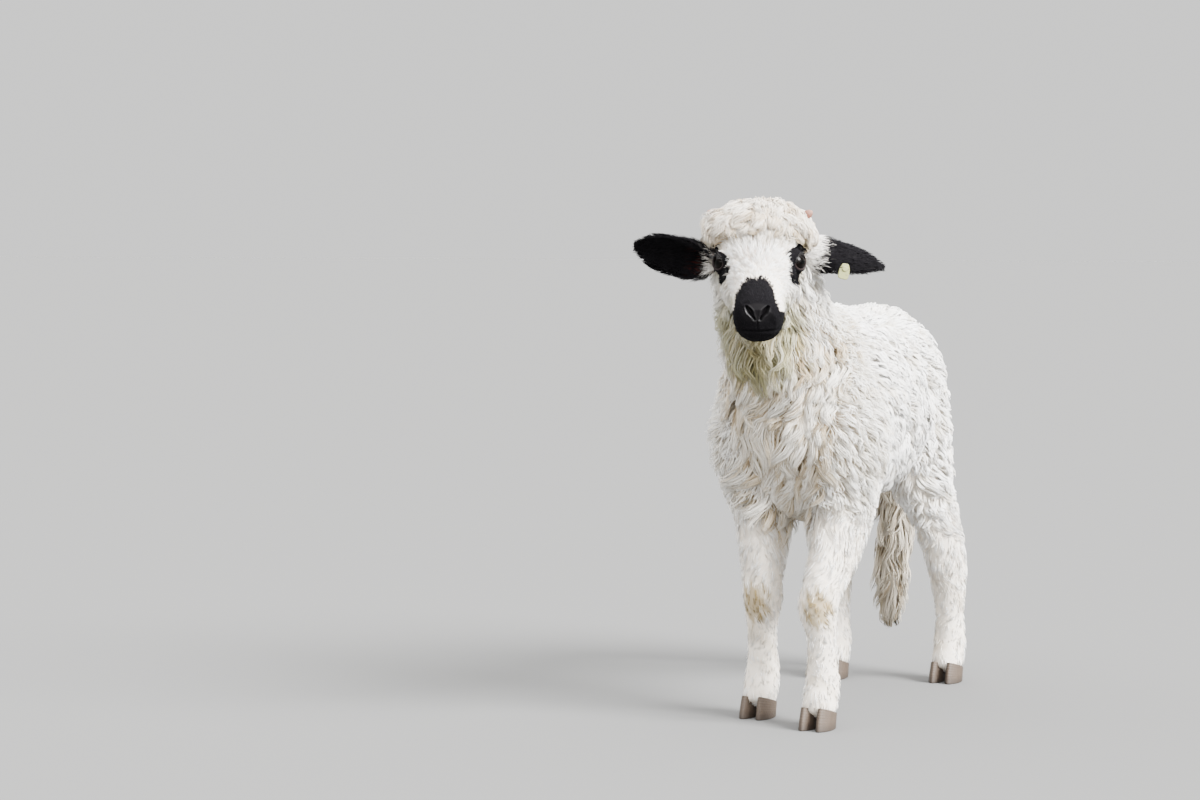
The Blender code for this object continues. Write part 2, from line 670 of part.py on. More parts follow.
def crown_wool(core):
    """The curls between the ears and down the sides of the head, as clumps."""
    rng = np.random.default_rng(51)
    pieces = []

    def woolly(spot, way):
        line = -0.012 + 0.9 * max(0.0, 0.030 - spot[2])  # the wool's front edge falls back down the cheek
        return spot[1] > line and spot[2] > CHEEK_LEVEL[0].z - 0.010

    for spot, way in scatter(core, CROWN_SPACING, 52, woolly):
        cheek = np.clip((0.010 - spot[2]) / 0.05, 0, 1)
        depth = CROWN_DEPTH * (1 - 0.45 * cheek) * rng.uniform(0.85, 1.15)
        lie = Vector((0.3 * rng.normal(), 0.4, -0.9)) if cheek else Vector((0.5 * rng.normal(), -1.0, -0.2))
        pieces.append(clump(spot, way, lie, CROWN_SPACING * rng.uniform(0.66, 0.76), depth, rng))
    return pieces


def lids(side):
    """The lids of one eye: a shell round the eyeball with an almond-shaped opening."""
    middle = Vector((side * EYE_APART, 0, 0))
    way = Vector((side * EYE_WAY.x, EYE_WAY.y, EYE_WAY.z))
    turn = np.linspace(0, 2 * math.pi, 12, endpoint=False)
    wide = math.tan(LID_OPEN) * np.cos(turn)
    tall = math.tan(LID_TALL) * np.sin(turn) * np.abs(np.sin(turn)) ** 0.4
    rings = [np.stack([reach * wide, reach * tall, np.full_like(turn, reach)], axis=-1)
             for reach in (0.1 * EYE_RADIUS, 2 * EYE_RADIUS)]
    place = Matrix.Translation(middle) @ way.to_track_quat("Z", "Y").to_matrix().to_4x4()
    opening = loft("opening", np.array(rings), ((0, 0, 0), (0, 0, 2 * EYE_RADIUS)), place)
    return cut(ball("lids", middle, EYE_RADIUS + LID_THICK, Matrix.Identity(4)), opening)


def pebble(name, middle, size, turn=0.0, steps=6, sides=8):
    """An ellipsoid, turned about the Y axis."""
    tilt = np.pi * np.arange(1, steps) / steps
    angle = np.linspace(0, 2 * math.pi, sides, endpoint=False)
    rings = np.stack([np.outer(np.sin(tilt), np.cos(angle)), np.outer(np.sin(tilt), np.sin(angle)),
                      np.repeat(np.cos(tilt)[:, None], sides, axis=1)], axis=-1)
    place = Matrix.Translation(middle) @ Matrix.Rotation(turn, 4, "Y") @ Matrix.Diagonal((*size, 1.0))
    return loft(name, rings, ((0, 0, 1), (0, 0, -1)), place)


def mouth_groove():
    """A thin slab along the mouth, hollowed so that it cuts only a groove round the muzzle."""
    way = MOUTH_CORNER - MOUTH_FRONT
    thick = Vector((0, 0, MOUTH_THICK / 2))
    start = MOUTH_FRONT - 0.5 * way
    wide = Vector((0.06, 0, 0))
    sides = [(x, z) for z in (-1, 1) for x in (-1, 1)]
    corners = [middle + x * wide + z * thick for middle in (start, MOUTH_CORNER) for x, z in sides]
    faces = [(0, 1, 3, 2), (4, 6, 7, 5), (0, 4, 5, 1), (2, 3, 7, 6), (0, 2, 6, 4), (1, 5, 7, 3)]
    slab_of = solid("mouth", corners, faces)
    core = bare_head(LIP_DEPTH)
    core.data.transform(Matrix.Translation((0, 0.0022, 0)))
    return cut(slab_of, core)


def make_head():
    """The head, with lids, nostrils, mouth and the wool of the crown; room for eyes, ears and horn buds."""
    head = bare_head()
    wool = pebble("crown", CROWN_AT, CROWN_SIZE, steps=9, sides=16)
    ground = join(bare_head(), [copy_of(wool)])
    thin(join(wool, crown_wool(ground)), HAIR_THINNING)
    drop(ground)
    keep_in_front(wool, HEAD_BACK)
    keep_in_front(wool, CHEEK_LEVEL)
    join(head, [wool, lids(1), lids(-1)])
    for side in (-1, 1):
        nostril = Vector((side * NOSTRIL.x, NOSTRIL.y, NOSTRIL.z))
        cut(head, pebble("nostril", nostril, NOSTRIL_SIZE, side * NOSTRIL_TILT))
    cut(head, mouth_groove())
    head.data.transform(head_pose())
    for side in (-1, 1):
        cut(head, ball("socket", Vector((side * EYE_APART, 0, 0)), EYE_RADIUS + GAP, head_pose()))
        cut(head, horn_bud(side, GAP))
    for side in EARS:
        cut(head, ear_room(side))
    return node(head, "head", "face_hair")


def horn_bud(side, fat=0.0):
    """A short blunt horn bud that leans outwards; fattened, it cuts room for itself."""
    angle = np.linspace(0, 2 * math.pi, 12, endpoint=False)
    rings = []
    for share, shrink in ((0.0, 1.15), (0.5, 1.0), (0.78, 0.86), (0.93, 0.6)):
        radius = BUD_RADIUS * shrink + fat
        rings.append(np.stack([radius * np.cos(angle), radius * np.sin(angle),
                               np.full_like(angle, share * BUD_LENGTH)], axis=-1))
    way = Vector((side * BUD_WAY.x, BUD_WAY.y, BUD_WAY.z))
    root = Vector((side * BUD_ROOT.x, BUD_ROOT.y, BUD_ROOT.z))
    place = head_pose() @ Matrix.Translation(root) @ way.to_track_quat("Z", "Y").to_matrix().to_4x4()
    ends = (0, 0, -fat), (0, 0, BUD_LENGTH + fat)
    return loft("horn_bud", np.array(rings), ends, place)


def ball(name, middle, radius, place):
    """A sphere with its poles out to the sides."""
    rings = []
    steps = 9
    sides = 16
    angle = np.linspace(0, 2 * math.pi, sides, endpoint=False)
    for step in range(1, steps):
        tilt = math.pi * step / steps
        y = radius * math.sin(tilt) * np.cos(angle)
        z = radius * math.sin(tilt) * np.sin(angle)
        rings.append(np.stack([np.full_like(y, -radius * math.cos(tilt)), y, z], axis=-1))
    rings = np.array(rings) + np.array(middle)
    ends = middle - Vector((radius, 0, 0)), middle + Vector((radius, 0, 0))
    return loft(name, rings, ends, place)


def ear_place(side):
    """Where an ear's own frame lies: its blade runs along X from the root, and its cup opens to +Z."""
    sign, root, pitch, turn = EARS[side]
    place = Matrix.Translation(root) @ Matrix.Rotation(-sign * pitch, 4, "Y")
    if sign < 0:
        place = place @ Matrix.Rotation(math.pi, 4, "Z")
    return head_pose() @ place @ Matrix.Rotation(turn, 4, "X")


def ear_shape(share):
    """The blade's radius, half angle and wall at a share of its length; it is solid at the root."""
    half, curl = along(list(zip(EAR_WIDTH, EAR_CURL)), 101)[round(100 * share)]
    curl = math.radians(float(curl))
    radius = float(half) / math.sin(min(curl, math.pi / 2))
    plug = max(0.0, 1 - share / EAR_PLUG) * 0.75 * radius
    return radius, curl, max(EAR_WALL * (1 - 0.5 * share), plug)


def ear_bend(side, share):
    """How far an ear is bent towards its cup's opening at a share of its length."""
    return EAR_BEND[side] * share ** 2


def make_ear(side):
    """A leaf-shaped ear, its cup rolled almost shut at the root."""
    rings = []
    for share in np.linspace(0, 1, EAR_STATIONS):
        radius, curl, wall = ear_shape(share)
        over = np.linspace(-curl, curl, EAR_SPAN)
        shells = []
        for size, angle in ((radius, over), (radius - wall, over[::-1])):
            shells.append(np.stack([np.full(EAR_SPAN, EAR_LENGTH * share), size * np.sin(angle),
                                    radius - size * np.cos(angle) + ear_bend(side, share)], axis=-1))
        rings.append(np.concatenate(shells))
    return crescent_loft("ear", np.array(rings), ear_place(side))


def ear_room(side):
    """The ear with its cup filled, fattened by the gap, as a cutter."""
    rings = []
    for share in np.linspace(0, 1, EAR_STATIONS):
        radius, curl, wall = ear_shape(share)
        angle = np.linspace(-curl, curl, EAR_SPAN)
        size = radius + 1.5 * GAP
        y, z = size * np.sin(angle), radius - size * np.cos(angle)
        rim = z[-1] + wall + 2 * GAP
        y, z = np.concatenate([y, y[[-1, 0]]]), np.concatenate([z, [rim, rim]])
        x = np.full(len(y), -GAP + (EAR_LENGTH + 2 * GAP) * share)
        rings.append(np.stack([x, y, z + ear_bend(side, share)], axis=-1))
    rings = np.array(rings)
    ends = rings[0].mean(axis=0) - [GAP, 0, 0], rings[-1].mean(axis=0) + [GAP, 0, 0]
    return loft("ear_room", rings, ends, ear_place(side))


def crescent_loft(name, rings, place):
    """A closed solid through crescents, whose two arcs are joined straight across at both ends."""
    count, sides = rings.shape[:2]
    faces = []
    for ring in range(count - 1):
        low = ring * sides
        for side in range(sides):
            turn = (side + 1) % sides
            faces.append((low + side, low + turn, low + sides + turn, low + sides + side))
    for low in (0, (count - 1) * sides):
        for side in range(sides // 2 - 1):
            faces.append((low + side, low + side + 1, low + sides - 2 - side, low + sides - 1 - side))
    return solid(name, rings.reshape(-1, 3), faces, place)


def tag_place():
    """Where the tag's own frame lies: on the outer side of the left ear, with +Z away from the ear."""
    radius = ear_shape(TAG_SHARE)[0]
    out = Vector((0, math.sin(TAG_ANGLE), -math.cos(TAG_ANGLE)))
    spot = Vector((EAR_LENGTH * TAG_SHARE, 0, radius + ear_bend("left", TAG_SHARE))) + out * radius
    frame = Matrix.Translation(spot) @ Matrix.Rotation(TAG_ANGLE, 4, "X")
    return ear_place("left") @ frame @ Matrix.Rotation(math.pi, 4, "X")


def make_tag():
    """A blank ear tag: a rounded plate behind the left ear, held by a pin and a round button."""
    wall = ear_shape(TAG_SHARE)[2]
    place = tag_place()
    plate = slab(TAG_WIDTH, TAG_LENGTH, 0.001, 0.001 + TAG_THICKNESS, place)
    button = disc(TAG_BUTTON, -wall - 0.0012 - TAG_THICKNESS, -wall - 0.0012, place)
    stem = disc(TAG_STEM, -wall - 0.002, 0.002, place)
    return join(plate, [button, stem])


def disc(radius, low, high, place):
    """A round plate about an axis."""
    angle = np.linspace(0, 2 * math.pi, 10, endpoint=False)
    rings = [np.stack([radius * np.cos(angle), radius * np.sin(angle), np.full_like(angle, level)], axis=-1)
             for level in (low, high)]
    return loft("disc", np.array(rings), ((0, 0, low), (0, 0, high)), place)


def slab(width, length, low, high, place):
    """A plate with round ends, its pin hole's middle half its width from one end."""
    turn = np.linspace(0, math.pi, 7)
    x = width / 2 * np.concatenate([np.cos(turn), -np.cos(turn)])
    y = width / 2 * np.concatenate([np.sin(turn), -np.sin(turn)])
    y = np.where(np.arange(14) < 7, y, y - (length - width))
    rings = [np.stack([x, y, np.full_like(x, level)], axis=-1) for level in (low, high)]
    middle = -(length - width) / 2
    return loft("slab", np.array(rings), ((0, middle, low), (0, middle, high)), place)


def make_eye(side, name):
    """One eyeball."""
    eye = ball("eye", Vector((side * EYE_APART, 0, 0)), EYE_RADIUS, head_pose())
    return node(eye, "eye_" + name, "eye")


clear_scene()
body_form = dressed_body()
make_torso(body_form)
make_neck(body_form)
drop(body_form)
make_head()
make_tail()
for foot_name in FEET:
    make_leg(foot_name)
    make_claws(foot_name)
node(make_tag(), "ear_tag", "tag")
for ear_name in EARS:
    ear = make_ear(ear_name)
    if ear_name == "left":
        cut(ear, disc(TAG_STEM + GAP, -0.012, 0.012, tag_place()))
    node(ear, "ear_" + ear_name, "ear_hair")
for eye_side, eye_name in ((1, "left"), (-1, "right")):
    make_eye(eye_side, eye_name)
    node(horn_bud(eye_side), "horn_bud_" + eye_name, "horn")
for part in bpy.data.objects:
    part.data.transform(Matrix.Translation(-MODEL_ORIGIN))
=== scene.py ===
# %% [markdown]
# # A Valais Blacknose lamb
# A lamb about two months old stands still and looks to its left. Its solids come ready made: they give the
# size, the pose and the outline. This file gives it a skin, a coat of modelled wool and hair, eyes, horn
# buds, hooves and an ear tag, and then the floor, the light and the camera.
#
# Wool could be made with Blender's hair system, but hair doesn't survive an export. So every tuft here is a
# small closed mesh, thousands of them in one object, worked out as whole numpy arrays.

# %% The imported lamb
import json
import math

import bmesh
import bpy
import numpy as np
from mathutils import Matrix, Vector

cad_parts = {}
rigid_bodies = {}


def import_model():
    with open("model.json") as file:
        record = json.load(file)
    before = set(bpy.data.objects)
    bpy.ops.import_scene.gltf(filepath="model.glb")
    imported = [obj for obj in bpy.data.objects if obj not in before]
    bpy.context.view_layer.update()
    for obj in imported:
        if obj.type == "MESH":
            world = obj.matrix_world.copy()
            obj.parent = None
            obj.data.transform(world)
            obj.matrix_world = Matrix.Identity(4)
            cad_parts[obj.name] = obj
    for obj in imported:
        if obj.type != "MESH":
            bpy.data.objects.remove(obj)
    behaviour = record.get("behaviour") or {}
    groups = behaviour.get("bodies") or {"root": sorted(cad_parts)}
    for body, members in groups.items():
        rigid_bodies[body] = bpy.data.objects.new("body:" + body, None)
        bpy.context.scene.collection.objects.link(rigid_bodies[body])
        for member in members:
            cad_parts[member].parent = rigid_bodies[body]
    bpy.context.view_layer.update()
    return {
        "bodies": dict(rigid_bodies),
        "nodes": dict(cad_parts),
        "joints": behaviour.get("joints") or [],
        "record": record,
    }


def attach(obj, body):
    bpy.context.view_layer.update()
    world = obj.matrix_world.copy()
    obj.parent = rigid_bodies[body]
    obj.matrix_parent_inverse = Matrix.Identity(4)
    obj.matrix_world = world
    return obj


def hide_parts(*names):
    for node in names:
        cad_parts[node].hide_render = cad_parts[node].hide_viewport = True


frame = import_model()

# %% [markdown]
# ## The lamb's measures
# The skin is described by sections: the middle of the body or limb, its half sizes without the coat, and
# how deep the coat is there. The legs, the trunk and the neck could be modelled by hand, but with sections
# one function makes all of them, and the same numbers tell later how long the wool grows. All are measured
# from the middle of the four feet, and moved at the end to where the solids stand.

# %% The sections of body, neck, legs and tail
FEET_MIDDLE = np.array([0.0060, 0.0633, 0.0])
SIDES_OF_FEET = {  # side of the body, how far out and how far back the cannon stands
    "fore_left": (+1, 0.049, -0.208),
    "fore_right": (-1, 0.050, -0.162),
    "hind_left": (+1, 0.064, 0.211),
    "hind_right": (-1, 0.086, 0.173),
}
SHOULDER, HIP = (0.052, -0.150), (0.042, 0.122)  # how far out and how far back the limbs start
TRUNK = [  # x, y, z, half width, half depth, coat
    (-0.001, -0.220, 0.366, 0.040, 0.052, 0.026),
    (-0.002, -0.196, 0.372, 0.067, 0.089, 0.026),
    (-0.002, -0.145, 0.380, 0.078, 0.109, 0.025),
    (-0.001, -0.085, 0.380, 0.076, 0.108, 0.025),
    (-0.002, -0.015, 0.381, 0.073, 0.106, 0.024),
    (-0.004, 0.050, 0.386, 0.071, 0.101, 0.024),
    (-0.007, 0.110, 0.392, 0.069, 0.095, 0.024),
    (-0.010, 0.160, 0.392, 0.062, 0.083, 0.024),
    (-0.012, 0.194, 0.390, 0.048, 0.068, 0.022),
    (-0.012, 0.210, 0.386, 0.026, 0.042, 0.020),
]
NECK = [
    (0.000, -0.095, 0.400, 0.066, 0.090, 0.026),
    (0.000, -0.160, 0.424, 0.060, 0.082, 0.026),
    (-0.003, -0.206, 0.462, 0.049, 0.064, 0.025),
    (-0.008, -0.236, 0.512, 0.043, 0.052, 0.024),
    (-0.009, -0.258, 0.560, 0.042, 0.048, 0.023),
    (-0.012, -0.262, 0.600, 0.034, 0.036, 0.018),
]
FORE_LEG = [  # share of the way to the foot, x, y, z, half width, half depth, coat
    (0.00, -0.012, 0.012, 0.430, 0.026, 0.050, 0.022),
    (0.00, -0.002, -0.004, 0.385, 0.034, 0.052, 0.023),
    (0.00, 0.004, -0.010, 0.345, 0.037, 0.048, 0.023),
    (0.00, 0.001, -0.002, 0.300, 0.033, 0.046, 0.017),
    (0.10, 0.001, 0.002, 0.255, 0.029, 0.047, 0.008),
    (0.50, 0.001, 0.000, 0.207, 0.0255, 0.037, 0.005),
    (0.90, 0.000, -0.002, 0.176, 0.0230, 0.0290, 0.002),
    (1.00, -0.003, -0.006, 0.147, 0.0235, 0.0260, 0.001),
    (1.00, 0.000, -0.002, 0.114, 0.0180, 0.0200, 0.001),
    (1.00, 0.000, 0.000, 0.084, 0.0172, 0.0190, 0.001),
    (1.00, 0.000, 0.001, 0.052, 0.0205, 0.0225, 0.001),
    (1.00, 0.000, -0.006, 0.034, 0.0205, 0.0230, 0.001),
    (1.00, 0.000, -0.008, 0.020, 0.0200, 0.0235, 0.001),
]
HIND_LEG = [
    (0.00, -0.004, 0.000, 0.400, 0.032, 0.050, 0.018),
    (0.15, -0.002, -0.010, 0.340, 0.031, 0.050, 0.018),
    (0.40, -0.002, -0.023, 0.285, 0.028, 0.046, 0.016),
    (0.75, 0.000, -0.040, 0.245, 0.0250, 0.037, 0.009),
    (0.92, 0.000, -0.037, 0.214, 0.0235, 0.035, 0.007),
    (1.00, 0.000, -0.022, 0.176, 0.0215, 0.0365, 0.005),
    (1.00, 0.000, -0.008, 0.145, 0.0205, 0.0310, 0.004),
    (1.00, 0.000, -0.002, 0.105, 0.0185, 0.0225, 0.001),
    (1.00, 0.000, 0.000, 0.080, 0.0178, 0.0205, 0.001),
    (1.00, 0.000, 0.001, 0.052, 0.0200, 0.0225, 0.001),
    (1.00, 0.000, -0.006, 0.034, 0.0200, 0.0225, 0.001),
    (1.00, 0.000, -0.008, 0.020, 0.0198, 0.0235, 0.001),
]
TAIL = [
    (-0.008, 0.205, 0.432, 0.012, 0.012, 0.004),
    (-0.012, 0.238, 0.408, 0.015, 0.012, 0.006),
    (-0.020, 0.252, 0.350, 0.017, 0.012, 0.008),
    (-0.028, 0.256, 0.270, 0.018, 0.012, 0.009),
    (-0.034, 0.256, 0.190, 0.018, 0.011, 0.009),
    (-0.038, 0.255, 0.120, 0.015, 0.009, 0.008),
    (-0.039, 0.254, 0.074, 0.007, 0.006, 0.004),
]


def leg_rows(foot):
    """The sections of one leg, from inside the body down to the hoof."""
    side, track, back = SIDES_OF_FEET[foot]
    table, (out, start) = (FORE_LEG, SHOULDER) if "fore" in foot else (HIND_LEG, HIP)
    limb = np.array(table)
    x = side * (out + limb[:, 0] * (track - out) + limb[:, 1])
    y = start + limb[:, 0] * (back - start) + limb[:, 2]
    return np.column_stack([x, y, limb[:, 3:]])


TUBES = {"trunk": np.array(TRUNK), "neck": np.array(NECK), "tail": np.array(TAIL)}
TUBES.update({foot: leg_rows(foot) for foot in SIDES_OF_FEET})
TUBES = {name: rows + np.append(FEET_MIDDLE, [0, 0, 0]) for name, rows in TUBES.items()}
print("tubes", {name: len(rows) for name, rows in TUBES.items()})

# %% The slices of the head, in its own frame
EYE_LINE = FEET_MIDDLE + [0.012, -0.320, 0.5680]
HEAD_TURN, HEAD_DOWN = math.radians(23.0), math.radians(25.0)
EYE_RADIUS, EYE_APART = 0.0125, 0.0415  # the eyeball's size, and its way out from the head's middle
HEAD = np.array([  # how far back, top, bottom, half width, where it is widest, squareness above and below
    (0.088, 0.012, -0.030, 0.020, -0.010, 2.0, 2.0),
    (0.078, 0.030, -0.052, 0.036, -0.012, 2.0, 2.0),
    (0.056, 0.040, -0.070, 0.045, -0.012, 2.1, 2.0),
    (0.028, 0.040, -0.075, 0.048, -0.010, 2.3, 1.9),
    (0.000, 0.030, -0.071, 0.0475, -0.004, 2.2, 1.8),
    (-0.026, 0.019, -0.066, 0.0385, -0.010, 2.1, 1.8),
    (-0.052, 0.012, -0.060, 0.0315, -0.016, 2.1, 2.0),
    (-0.078, 0.006, -0.058, 0.0300, -0.020, 2.2, 2.3),
    (-0.096, -0.001, -0.056, 0.0285, -0.022, 2.3, 2.4),
    (-0.106, -0.010, -0.048, 0.0210, -0.026, 2.2, 2.2),
])
SIDES = {"left": 1, "right": -1}  # the sign of x on each side
head_pose = (Matrix.Translation(EYE_LINE) @ Matrix.Rotation(HEAD_TURN, 4, "Z")
             @ Matrix.Rotation(HEAD_DOWN, 4, "X"))
HEAD_TO_WORLD = np.array(head_pose)
print("eyes", 2 * EYE_APART, "apart, their middle at", np.round(EYE_LINE, 3).tolist())


def in_head(points):
    """Points in the head's own frame: x to its left, y back from the eyes, z up from them."""
    return (points - HEAD_TO_WORLD[:3, 3]) @ HEAD_TO_WORLD[:3, :3]


def turned(local):
    """Directions of the head's frame in the lamb's."""
    return local @ HEAD_TO_WORLD[:3, :3].T


def unit(vectors):
    """Vectors of length one."""
    return vectors / np.maximum(np.linalg.norm(vectors, axis=-1, keepdims=True), 1e-9)


def step(values, low, high):
    """A smooth step from 0 at low to 1 at high."""
    share = np.clip((values - low) / (high - low), 0, 1)
    return share * share * (3 - 2 * share)


# %% [markdown]
# ## One skin
# Body, neck, legs and tail are tubes that run into one another, and on the animal no line shows between
# them. Joining them one by one would leave creases, so they go through a voxel remesh, which melts them
# into one surface. The head needs lids and lips, so it is melted at a finer grain and then joined.

# %% Tubes and other closed forms
def along(table, count):
    """Rows spaced evenly on the Catmull-Rom curve through a table's rows."""
    where = np.linspace(0, len(table) - 1, count)
    low = np.clip(where.astype(int), 0, len(table) - 2)
    t = (where - low)[:, None]
    a, b = table[np.maximum(low - 1, 0)], table[low]
    c, d = table[low + 1], table[np.minimum(low + 2, len(table) - 1)]
    return b + 0.5 * t * (c - a + t * (2 * a - 5 * b + 4 * c - d + t * (3 * (b - c) + d - a)))


def new_object(name, points, faces):
    """An object from points and faces, linked to the scene."""
    mesh = bpy.data.meshes.new(name)
    mesh.from_pydata(np.asarray(points).tolist(), [], faces)
    item = bpy.data.objects.new(name, mesh)
    bpy.context.scene.collection.objects.link(item)
    return item


def loft(name, rings, ends):
    """A closed form through rings of equally many points, shut by a pole at each end."""
    count, sides = rings.shape[:2]
    points = np.concatenate([[ends[0]], rings.reshape(-1, 3), [ends[1]]])
    ring, side = np.meshgrid(np.arange(count - 1), np.arange(sides), indexing="ij")
    low, after = 1 + ring * sides, (side + 1) % sides
    quads = np.stack([low + side, low + sides + side, low + sides + after, low + after], axis=-1)
    rim, top = np.arange(sides), 1 + (count - 1) * sides
    after = (rim + 1) % sides
    first = np.stack([0 * rim, 1 + rim, 1 + after], axis=-1)
    last = np.stack([0 * rim + len(points) - 1, top + after, top + rim], axis=-1)
    return new_object(name, points, [*quads.reshape(-1, 4).tolist(), *first.tolist(), *last.tolist()])


def tube_frame(rows):
    """Middles of a tube's sections, the way it runs, and its two cross directions."""
    way = unit(np.gradient(rows[:, :3], axis=0))
    across = unit(np.array([1.0, 0, 0]) - way * way[:, :1])
    return rows[:, :3], way, across, np.cross(way, across)


def full_turn(sides):
    """Evenly spaced angles, once round."""
    return np.linspace(0, 2 * math.pi, sides, endpoint=False)


def tube(name, table, count, sides, share):
    """middle + across * wide * cos(a) + other * deep * sin(a), where a share of the coat widens both."""
    rows = along(table, count)
    middle, way, across, other = tube_frame(rows)
    angle = full_turn(sides)[None, :, None]
    wide, deep = (rows[:, column] + share * rows[:, 5] for column in (3, 4))
    rings = (middle[:, None] + across[:, None] * wide[:, None, None] * np.cos(angle)
             + other[:, None] * deep[:, None, None] * np.sin(angle))
    reach = 0.5 * np.minimum(wide, deep)[:, None]
    return loft(name, rings, (middle[0] - way[0] * reach[0], middle[-1] + way[-1] * reach[-1]))


def rings_about_z(radius, level, sides):
    """Rings of a form turned about Z: (radius cos(a), radius sin(a), level)."""
    angle = full_turn(sides)
    return np.stack([np.outer(radius, np.cos(angle)), np.outer(radius, np.sin(angle)),
                     np.repeat(level[:, None], sides, axis=1)], axis=-1)


def ball(name, middle, radii, steps=24, sides=32):
    """An ellipsoid about a point: middle + radii * (sin(b) cos(a), sin(b) sin(a), cos(b))."""
    tilt = np.pi * np.arange(1, steps) / steps
    pole = np.broadcast_to(radii, 3) * [0, 0, 1]
    return loft(name, middle + radii * rings_about_z(np.sin(tilt), np.cos(tilt), sides),
                (middle + pole, middle - pole))


def turned_out(item):
    """Recalculate a closed form's normals so that they point out."""
    work = bmesh.new()
    work.from_mesh(item.data)
    bmesh.ops.recalc_face_normals(work, faces=work.faces)
    if work.calc_volume(signed=True) < 0:
        bmesh.ops.reverse_faces(work, faces=work.faces)
    work.to_mesh(item.data)
    work.free()
    return item


def bake(item):
    """Apply an object's modifiers."""
    made = item.evaluated_get(bpy.context.evaluated_depsgraph_get())
    mesh = bpy.data.meshes.new_from_object(made)
    item.modifiers.clear()
    item.data = mesh
    return item


def combine(target, others, operation="UNION"):
    """A Boolean of the target with each of several closed forms, which are then removed."""
    for other in others:
        modifier = target.modifiers.new("combine", "BOOLEAN")
        modifier.operation, modifier.solver, modifier.object = operation, "MANIFOLD", other
    bake(target)
    for other in others:
        bpy.data.objects.remove(other, do_unlink=True)
    return target


def melt(item, grain, smoothing):
    """Remesh at a grain and smooth, so that what overlaps becomes one skin."""
    remesh = item.modifiers.new("melt", "REMESH")
    remesh.mode, remesh.voxel_size = "VOXEL", grain
    smooth = item.modifiers.new("smooth", "SMOOTH")
    smooth.factor, smooth.iterations = 0.5, smoothing
    return bake(item)


# %% The body's skin
SKIN_SHARE = {"trunk": 0.35, "neck": 0.35, "tail": 0.2}  # how far out in the coat the skin lies
LEG_SHARE = 0.3
BODY_GRAIN, HEAD_GRAIN = 0.0044, 0.0009
body = None
for name, table in TUBES.items():
    part = turned_out(tube(name, table, count=48, sides=40, share=SKIN_SHARE.get(name, LEG_SHARE)))
    body = part if body is None else combine(body, [part])
melt(body, BODY_GRAIN, smoothing=8)
print("body skin", len(body.data.polygons), "faces")

# %% The head's skin, with its lids
EYE_WAY = np.array([0.78, -0.58, 0.28])  # the way the left eye looks; the right one mirrors it
LID_OPEN, LID_TALL, LID_THICK = math.radians(49), math.radians(41), 0.0020
SOCKET_GAP = 0.0003  # between the eyeball and the lids
HEAD_BACK, NOSE_TIP = [0, 0.094, -0.010], [0, -0.110, -0.030]  # the points that shut the head's slices
CROWN_AT, CROWN_SIZE = np.array([0, 0.042, 0.011]), np.array([0.0575, 0.0480, 0.0365])


def signed_power(values, power):
    """sign(v) * |v|^power, which makes a circle's sine and cosine those of a rounded square."""
    return np.sign(values) * np.abs(values) ** power


def head_rings(rows, sides):
    """Rings of two half superellipses: x = half * |cos|^(2/n), z = widest + height * |sin|^(2/n)."""
    angle = full_turn(sides)[None]
    back, top, bottom, half, widest, upper, lower = rows.T[:, :, None]
    power = np.where(np.sin(angle) > 0, 2 / upper, 2 / lower)
    height = np.where(np.sin(angle) > 0, top - widest, widest - bottom)
    x = half * signed_power(np.cos(angle), power)
    z = widest + height * signed_power(np.sin(angle), power)
    return np.stack([x, np.broadcast_to(back, x.shape), z], axis=-1)


def almond(turn):
    """Ways from the eyeball's middle to the lids: (tan(open) cos(a), tan(tall) sin(a) |sin(a)|^0.4, 1)."""
    wide = math.tan(LID_OPEN) * np.cos(turn)
    tall = math.tan(LID_TALL) * (np.sin(turn) * np.abs(np.sin(turn)) ** 0.4)
    return np.stack([wide, tall, np.ones_like(turn)], axis=-1)


def facing(way, side):
    """The turn of +Z to a way that is given for the left side, mirrored for the right one."""
    return Vector(way * [side, 1, 1]).to_track_quat("Z", "Y").to_matrix().to_4x4()


def eye_frame(side):
    """Where an eye lies in the head's frame, with +Z the way it looks."""
    return Matrix.Translation((side * EYE_APART, 0, 0)) @ facing(EYE_WAY, side)


def eye_opening(side):
    """A cone along the way the eye looks, almond-shaped across, out to twice the eyeball's radius."""
    ways = almond(full_turn(32))
    rings = EYE_RADIUS * np.stack([0.1 * ways, 2.0 * ways])
    cone = loft("opening", rings, ([0, 0, 0], [0, 0, 2 * EYE_RADIUS]))
    cone.data.transform(eye_frame(side))
    return turned_out(cone)


head = turned_out(loft("head", head_rings(along(HEAD, 60), 72), (HEAD_BACK, NOSE_TIP)))
eyes_at = [np.array([side * EYE_APART, 0, 0]) for side in SIDES.values()]
mounds = [turned_out(ball("mound", spot, EYE_RADIUS + LID_THICK)) for spot in eyes_at]
combine(head, [turned_out(ball("crown", CROWN_AT, CROWN_SIZE)), *mounds])
openings = [eye_opening(side) for side in SIDES.values()]
sockets = [turned_out(ball("socket", spot, EYE_RADIUS + SOCKET_GAP)) for spot in eyes_at]
combine(head, [*openings, *sockets], "DIFFERENCE")
melt(head, HEAD_GRAIN, smoothing=3)
print("head skin", len(head.data.polygons), "faces")

# %% The head's skin, thinned where it is plain
MUZZLE_AT, LID_MARGIN = -0.080, 0.006  # all faces stay in front of the first, and this near to an eyeball
THINNED_TO = 0.28  # the share of the faces that is kept


def read(item, what="vertices", field="co", width=3):
    """One field of an object's mesh as an array."""
    rows = getattr(item.data, what)
    values = np.empty(len(rows) * width)
    rows.foreach_get(field, values)
    return values.reshape(-1, width)


def around_eye(local):
    """Offsets from the nearer eye's middle, with x outwards."""
    return np.stack([np.abs(local[:, 0]) - EYE_APART, local[:, 1], local[:, 2]], axis=-1)


def gap_to_eye(local):
    """How far points of the head lie from the nearer eyeball."""
    return np.linalg.norm(around_eye(local), axis=1) - EYE_RADIUS


